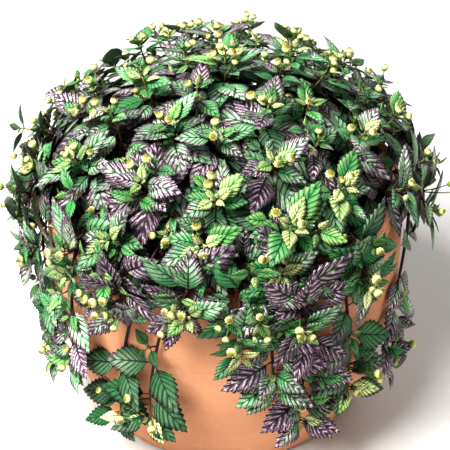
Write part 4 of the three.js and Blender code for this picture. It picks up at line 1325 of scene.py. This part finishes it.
class Herb:
    """Grows the fine stems: what the solids hold, smaller leaves between, side shoots and flower heads."""

    def __init__(self, settings, leaves):
        ridge, tooth = leaves.ridge / MM / LEAF_LENGTH, leaves.tooth / MM / LEAF_LENGTH
        self.large = leaf_form(leaves.veins, 3, ridge, tooth)
        self.middle = leaf_form(leaves.veins - 1, 2, ridge, 1.2 * tooth)
        self.small = leaf_form(leaves.veins - 3, 1, 0.7 * ridge, 1.3 * tooth)
        self.head = head_form()
        self.settings = settings
        self.droop = leaves.droop

    def leaf(self, growth, leaf, purple, youth, depth, light, draw):
        """One leaf, in the form that suits its size. depth is 0 on the outside and 1 deep inside, where the
        leaf gets painted shade.
        """
        if leaf["length"] > LARGE_LEAF and depth < 0.25:
            form = self.large
        elif leaf["length"] > MIDDLE_LEAF and depth < 0.6:
            form = self.middle
        else:
            form = self.small
        leaf.setdefault("stalk", min(LEAF_STALK, 1 + 0.16 * leaf["length"]))
        bend = (self.droop * draw(*LEAF_DROOPS), draw(*LEAF_TWISTS), draw(*LEAF_CURVES))
        # Painted shade deep inside the foliage, times a random brightness for each leaf
        light = light * (1 - DEPTH_SHADE * depth) * draw(*LEAF_LIGHTS)
        blush = max(0.0, draw(*LEAF_BLUSHES)) * (0.5 + 0.5 * purple)
        growth.leaf(leaf, form, min(max(purple, 0), 1), youth, blush, light, bend)

    def pairs(self, growth, shoot, plan, draw, loose=1.0):
        """Leaf pairs that the solids don't hold. Each has back, size, lift, order, youth and depth."""
        for back, size, lift, order, youth, depth in plan:
            pair = pair_on(shoot, back, size, lift)
            for side in (0, 1):
                pair["twist"] = loose * draw(-FINE_TWIST, FINE_TWIST)
                pair["jitter"] = (loose * draw(-FINE_LIFT, FINE_LIFT), loose * draw(-FINE_LIFT, FINE_LIFT))
                leaf = leaf_of(shoot, pair, order, side)
                purple = shoot["purple"] * (1 - 0.35 * depth) + draw(-0.4, 0.15)
                self.leaf(growth, leaf, purple * (1 - 0.6 * youth), youth, depth, shoot["light"], draw)

    def crown(self, growth, shoot, draw, young):
        """The young pairs at a shoot's tip. On a purple shoot the lower ones are older."""
        ripe = shoot["purple"] ** 2
        youths = (young, young * (1 - 0.4 * ripe), 0.9 * young * (1 - ripe))
        grown = TRAIL_CROWN["size"] if shoot["trails"] else 1
        plan = [
            (back, size * grown, lift, order, youth, 0)
            for (back, size, lift, order), youth in zip(CROWN_PAIRS, youths)
        ]
        # A trailing stem's crown is larger, and its leaves get painted light that brightens them
        if shoot["trails"]:
            shoot = dict(shoot, light=TRAIL_CROWN["light"])
        self.pairs(growth, shoot, plan, draw)

    def heads(self, growth, shoot, back, spin, chance, draw, reach=HEAD_STALK):
        """Flower heads in the two axils of a pair."""
        pair = pair_on(shoot, back)
        for side in (0, 1):
            if draw() > chance:
                continue
            out = across(pair, spin + 180 * side + draw(-35, 35))
            way = unit(out * draw(0.3, 0.6) + pair["facing"] * HEAD_UPRIGHT)
            head = dict(start=pair["point"], way=way, length=reach * draw(0.7, 1.15))
            growth.head(head, self.head, draw(0.68, 0.92), draw(0.85, 1.1))

    def side_shoot(self, growth, shoot, pair, angle, length, draw):
        """A short shoot of small bright leaves out of a leaf's axil."""
        start, facing = pair["point"], pair["facing"]
        out = across(pair, angle)
        end = start + (out * 0.75 + facing * draw(0.3, 0.6) + pair["along"] * 0.25) * length
        line = bezier(start, start + out * 0.4 * length, end - facing * 0.3 * length, end, 6)
        spin = draw(0, 90)
        purple = 0.3 * shoot["purple"] * draw()
        small = shoot_from(line, facing, spin, purple, shoot["size"], light=shoot["light"])
        growth.tube(line, np.linspace(0.9, 0.6, 7), 5, np.linspace(0.1, 0.8, 7))
        scale = 0.5 + 0.4 * length / 40
        young = draw(0.1, 0.7)
        self.pairs(growth, small, [
            (0.5, 0.35 * scale, 48, 0, young, 0.05),
            (3.5, 0.65 * scale, 24, 1, 0.6 * young, 0.15),
        ], draw)
        if draw() < 0.3 * self.settings.flowering:
            self.heads(growth, small, 4, spin, 0.6, draw, YOUNG_HEAD_STALK)

    def side_shoots(self, growth, shoot, backs, chance, angle_at, lengths, draw):
        """Side shoots in some axils. lengths has the shortest, the longest and how much more each time."""
        shortest, longest, more = lengths
        for k, back in enumerate(backs):
            pair = pair_on(shoot, back)
            for side in (0, 1):
                if draw() < chance:
                    angle = angle_at(pair, k, side)
                    self.side_shoot(growth, shoot, pair, angle, draw(shortest, longest + more * k), draw)

    def held(self, growth, stem, youngest, draw):
        """The leaves and the flower head that a stem's solid holds."""
        solid = Solid(stem["node"])
        for order in range(len(stem["pairs"])):
            for side in (0, 1):
                leaf = solid.leaf(stem, order, side)
                if leaf is None:
                    continue
                leaf["stalk"] = LEAF_STALK
                youth = (0.6 * draw() ** 2, 0.1 * draw() ** 2, 0)[order] * (1 - stem["purple"])
                purple = stem["purple"] * (0.75, 1, 0.75)[order] + draw(-0.45, 0.15)
                self.leaf(growth, leaf, purple, youth * youngest, 0, stem["light"], draw)
        head = solid.head(stem) if stem["has_head"] else None
        if head:
            growth.head(head, self.head, 0.95, 1.0)

    def stem(self, growth, stem):
        """One rooted stem: what its solid holds, its crown, and more heads, pairs and side shoots."""
        draw = random_stream(GROWTH_SEED + stem["index"])
        habit = HANGING if stem["trails"] else UPRIGHT
        fine = np.vstack((stem["line"][0] - UP * (ROOT_RISE + STEM_FOOT), smooth(stem["line"])))
        radii = np.linspace(self.settings.stem_radius, self.settings.tip_radius, len(fine)) / MM
        if stem["trails"]:
            radii = np.linspace(*HANGING_TAPER, len(fine)) * self.settings.stem_radius / MM
        growth.tube(fine, radii, 7, np.clip(np.linspace(habit["oldest"], 1.0, len(fine)), 0, 1))
        self.held(growth, stem, habit["youth"], draw)
        self.crown(growth, stem, draw, draw(0.7, 1.1))
        flowering = self.settings.flowering * habit["flowering"]
        self.heads(growth, stem, 28.5, stem["spin"], flowering, draw)
        self.heads(growth, stem, 8, stem["spin"] + 90, flowering, draw, YOUNG_HEAD_STALK)
        more = self.trail_more if stem["trails"] else self.rosette_more
        more(growth, stem, line_length(stem["line"]), draw)

    def rosette_more(self, growth, stem, length, draw):
        """The pairs between and below a rosette's, down to the soil, with side shoots in their axils."""
        self.pairs(growth, turned(stem), ROSETTE_MORE, draw)
        backs = np.arange(44, min(length - 12, 175), PAIR_SPACING)
        self.pairs(growth, stem, [
            (back, 1.06 - 0.05 * k, 2 - 3 * k, k, 0.0, min(0.25 + DEPTH_STEP * k, 0.85))
            for k, back in enumerate(backs)
        ], draw)

        def beside(pair, k, side):
            return leaf_angle(stem, pair, k + 1, side) + draw(-25, 25)

        self.side_shoots(growth, stem, (22, *backs[:3]), 0.4, beside, (14, 22, 8), draw)

    def trail_more(self, growth, stem, length, draw):
        """Pairs and side shoots along a stem that hangs outside the pot: fewer on the greenest stems."""
        full = stem["purple"] > SPARSE_BELOW
        plan = FULL_TRAIL_MORE if full else SPARSE_TRAIL_MORE
        if full:
            backs = np.arange(112, length - 80, 44)
            plan = plan + [(b, 0.85 - 0.08 * (k % 2), 8, k % 2, 0.0, 0.1) for k, b in enumerate(backs)]
        self.pairs(growth, stem, plan, draw, 2.2 if full else 1)

        def beside(pair, k, side):
            return leaf_angle(stem, pair, 0, side) + draw(-30, 30)

        backs = (34, 78, *np.arange(100, length - 80, 30))
        chance, longest = (0.4, 22) if full else (0.3, 12)
        self.side_shoots(growth, stem, backs, chance, beside, (8, longest, 0), draw)

    def branch(self, growth, parent, tip, facing, draw, back, scale):
        """A branch that leaves its parent stem below and ends in a rosette of its own."""
        start, along = back_from_tip(parent["line"], min(back, 0.7 * line_length(parent["line"])))
        reach = np.linalg.norm(tip - start)
        line = bezier(start, start + along * 0.35 * reach, tip - facing * FACING_END * reach, tip, 10)
        purple = min(max(parent["purple"] + draw(-0.4, 0.65), 0), 1)
        spin = draw(0, 180)
        shoot = shoot_from(line, facing, spin, purple, draw(0.62, 0.9) * scale, parent["follow"])
        growth.tube(line, np.linspace(1.2, 0.7, 11), 6, np.clip(np.linspace(-0.8, 1, 11), 0, 1))
        young = draw(0.3, 0.95)
        self.crown(growth, shoot, draw, young)
        plan = [(9, 0.8, 24, 1, 0.5 * young * draw(), 0), (24, 1.05, 4, 0, 0.05, 0.1)]
        self.pairs(growth, shoot, plan, draw)
        self.pairs(growth, turned(shoot), BRANCH_MORE, draw)
        self.heads(growth, shoot, 24, spin + 90, 0.7 * self.settings.flowering, draw)
        self.heads(growth, shoot, 8, spin, 0.6 * self.settings.flowering, draw, YOUNG_HEAD_STALK)
        backs = np.arange(42, min(reach - 10, 100), PAIR_SPACING)
        self.pairs(growth, shoot, [
            (b, 1.0, 0, k + 1, 0.0, min(0.3 + DEPTH_STEP * k, 0.8)) for k, b in enumerate(backs)
        ], draw)

        def any_way(pair, k, side):
            return draw(0, 360)

        self.side_shoots(growth, shoot, (17, *backs[:2]), 0.3, any_way, (12, 26, 0), draw)


class HERB_OT_leafy_stems(bpy.types.Operator):
    """Grows the leafy stems with their quilted leaves and flower heads"""

    bl_idname = "herb.leafy_stems"
    bl_label = "Leafy Stems"

    def execute(self, context):
        settings, leaves = context.scene.herb_stems, context.scene.herb_leaves
        herb = Herb(settings, leaves)
        finishes = [leaf_finish(leaves), stem_finish(settings), head_finish(settings)]
        stems = plant_stems()
        growths = [Growth() for _ in stems]
        for stem, growth in zip(stems, growths):
            herb.stem(growth, stem)
        draw = random_stream(BRANCH_SEED)
        rooted = [stem for stem in stems if not stem["trails"]]
        anchors = [
            back_from_tip(stem["line"], min(ANCHOR_BACK, 0.6 * line_length(stem["line"])))[0]
            for stem in rooted
        ]
        for tip, facing, back, scale in branch_places(stems, math.degrees(settings.fill_apart)):
            near = min(range(len(rooted)), key=lambda i: np.linalg.norm(anchors[i] - tip))
            herb.branch(growths[rooted[near]["index"]], rooted[near], tip, facing, draw, back, scale)
        slots = {s["node"]: s["material_slot"] for s in frame["record"]["subparts"]}
        for stem, growth in zip(stems, growths):
            piece = growth.mesh(f"{stem['node']}_foliage", finishes)
            finished(piece, stem["node"], slots[stem["node"]])
        return {"FINISHED"}


# The stage. Its sizes and places are in metres.

FLOOR_SIZE = 60
FLOOR_DROP = 0.0005
SENSOR = 36


def area_light(name, power, size, place, aim):
    """A square light at a place, turned to a point at a height over the pot's middle."""
    light = bpy.data.lights.new(name, "AREA")
    light.energy, light.size = power, size
    lamp = bpy.data.objects.new(name, light)
    bpy.context.scene.collection.objects.link(lamp)
    lamp.location = place
    lamp.rotation_euler = (Vector((0, 0, aim)) - Vector(place)).to_track_quat("-Z", "Y").to_euler()


def studio_sky(strength):
    """Soft light from all round, with a bright band at the horizon that the floor runs into."""
    world = bpy.data.worlds.new("sky")
    world.use_nodes = True
    nodes, links = world.node_tree.nodes, world.node_tree.links
    place = nodes.new("ShaderNodeTexCoord")
    split = nodes.new("ShaderNodeSeparateXYZ")
    fade = nodes.new("ShaderNodeMapRange")
    for name, value in (("From Min", 0.2), ("From Max", 0.5), ("To Min", 0.8), ("To Max", strength)):
        fade.inputs[name].default_value = value
    links.new(place.outputs["Generated"], split.inputs[0])
    links.new(split.outputs["Z"], fade.inputs["Value"])
    links.new(fade.outputs[0], nodes["Background"].inputs["Strength"])
    nodes["Background"].inputs["Color"].default_value = (1, 1, 1, 1)
    return world


def camera_from(settings):
    """The camera in front of the pot, which looks down at it."""
    lens = bpy.data.cameras.new("camera")
    lens.lens, lens.sensor_width = settings.lens, SENSOR
    camera = bpy.data.objects.new("camera", lens)
    bpy.context.scene.collection.objects.link(camera)
    tilt, distance = settings.camera_angle, settings.camera_distance
    camera.location = (0, -distance * math.cos(tilt), settings.target_height + distance * math.sin(tilt))
    camera.rotation_euler = (math.pi / 2 - tilt, 0, 0)
    return camera


class HERB_OT_stage(bpy.types.Operator):
    """Sets the pale floor, the soft lights and the camera"""

    bl_idname = "herb.stage"
    bl_label = "Stage"

    def execute(self, context):
        settings = context.scene.herb_stage
        deselect_all()
        bpy.ops.mesh.primitive_plane_add(size=FLOOR_SIZE, location=(0, 0, -FLOOR_DROP))
        floor = context.object
        floor.name = "floor"
        floor.data.materials.append(floor_finish(settings))
        area_light("key", settings.key_power, 1.0, (-0.9, -0.9, 1.9), 0.25)
        area_light("fill", settings.fill_power, 2.2, (1.7, -1.2, 1.0), 0.2)
        area_light("back", settings.back_power, 1.4, (0.5, 1.6, 1.6), 0.3)
        context.scene.world = studio_sky(settings.sky)
        context.scene.camera = camera_from(settings)
        context.scene.view_settings.view_transform = "Standard"
        context.scene.view_settings.look = "High Contrast"
        return {"FINISHED"}


# The add-on


class HERB_PT_panel(bpy.types.Panel):
    """Lists the steps that build the herb"""

    bl_label = "Potted Herb"
    bl_idname = "HERB_PT_panel"
    bl_space_type = "VIEW_3D"
    bl_region_type = "UI"
    bl_category = "Herb"

    def draw(self, context):
        for operator in OPERATORS:
            self.layout.operator(operator.bl_idname)


OPERATORS = (HERB_OT_stage, HERB_OT_clay_pot, HERB_OT_soil, HERB_OT_leafy_stems)
SETTINGS = {
    "herb_pot": HerbPotSettings,
    "herb_leaves": HerbLeafSettings,
    "herb_stems": HerbStemSettings,
    "herb_stage": HerbStageSettings,
}


def register():
    for cls in (*SETTINGS.values(), *OPERATORS, HERB_PT_panel):
        bpy.utils.register_class(cls)
    for name, cls in SETTINGS.items():
        setattr(bpy.types.Scene, name, PointerProperty(type=cls))


def unregister():
    for name in SETTINGS:
        delattr(bpy.types.Scene, name)
    for cls in (HERB_PT_panel, *reversed(OPERATORS), *SETTINGS.values()):
        bpy.utils.unregister_class(cls)


def main():
    register()
    bpy.ops.herb.stage()
    bpy.ops.herb.clay_pot()
    bpy.ops.herb.soil()
    bpy.ops.herb.leafy_stems()


if __name__ == "__main__":
    main()
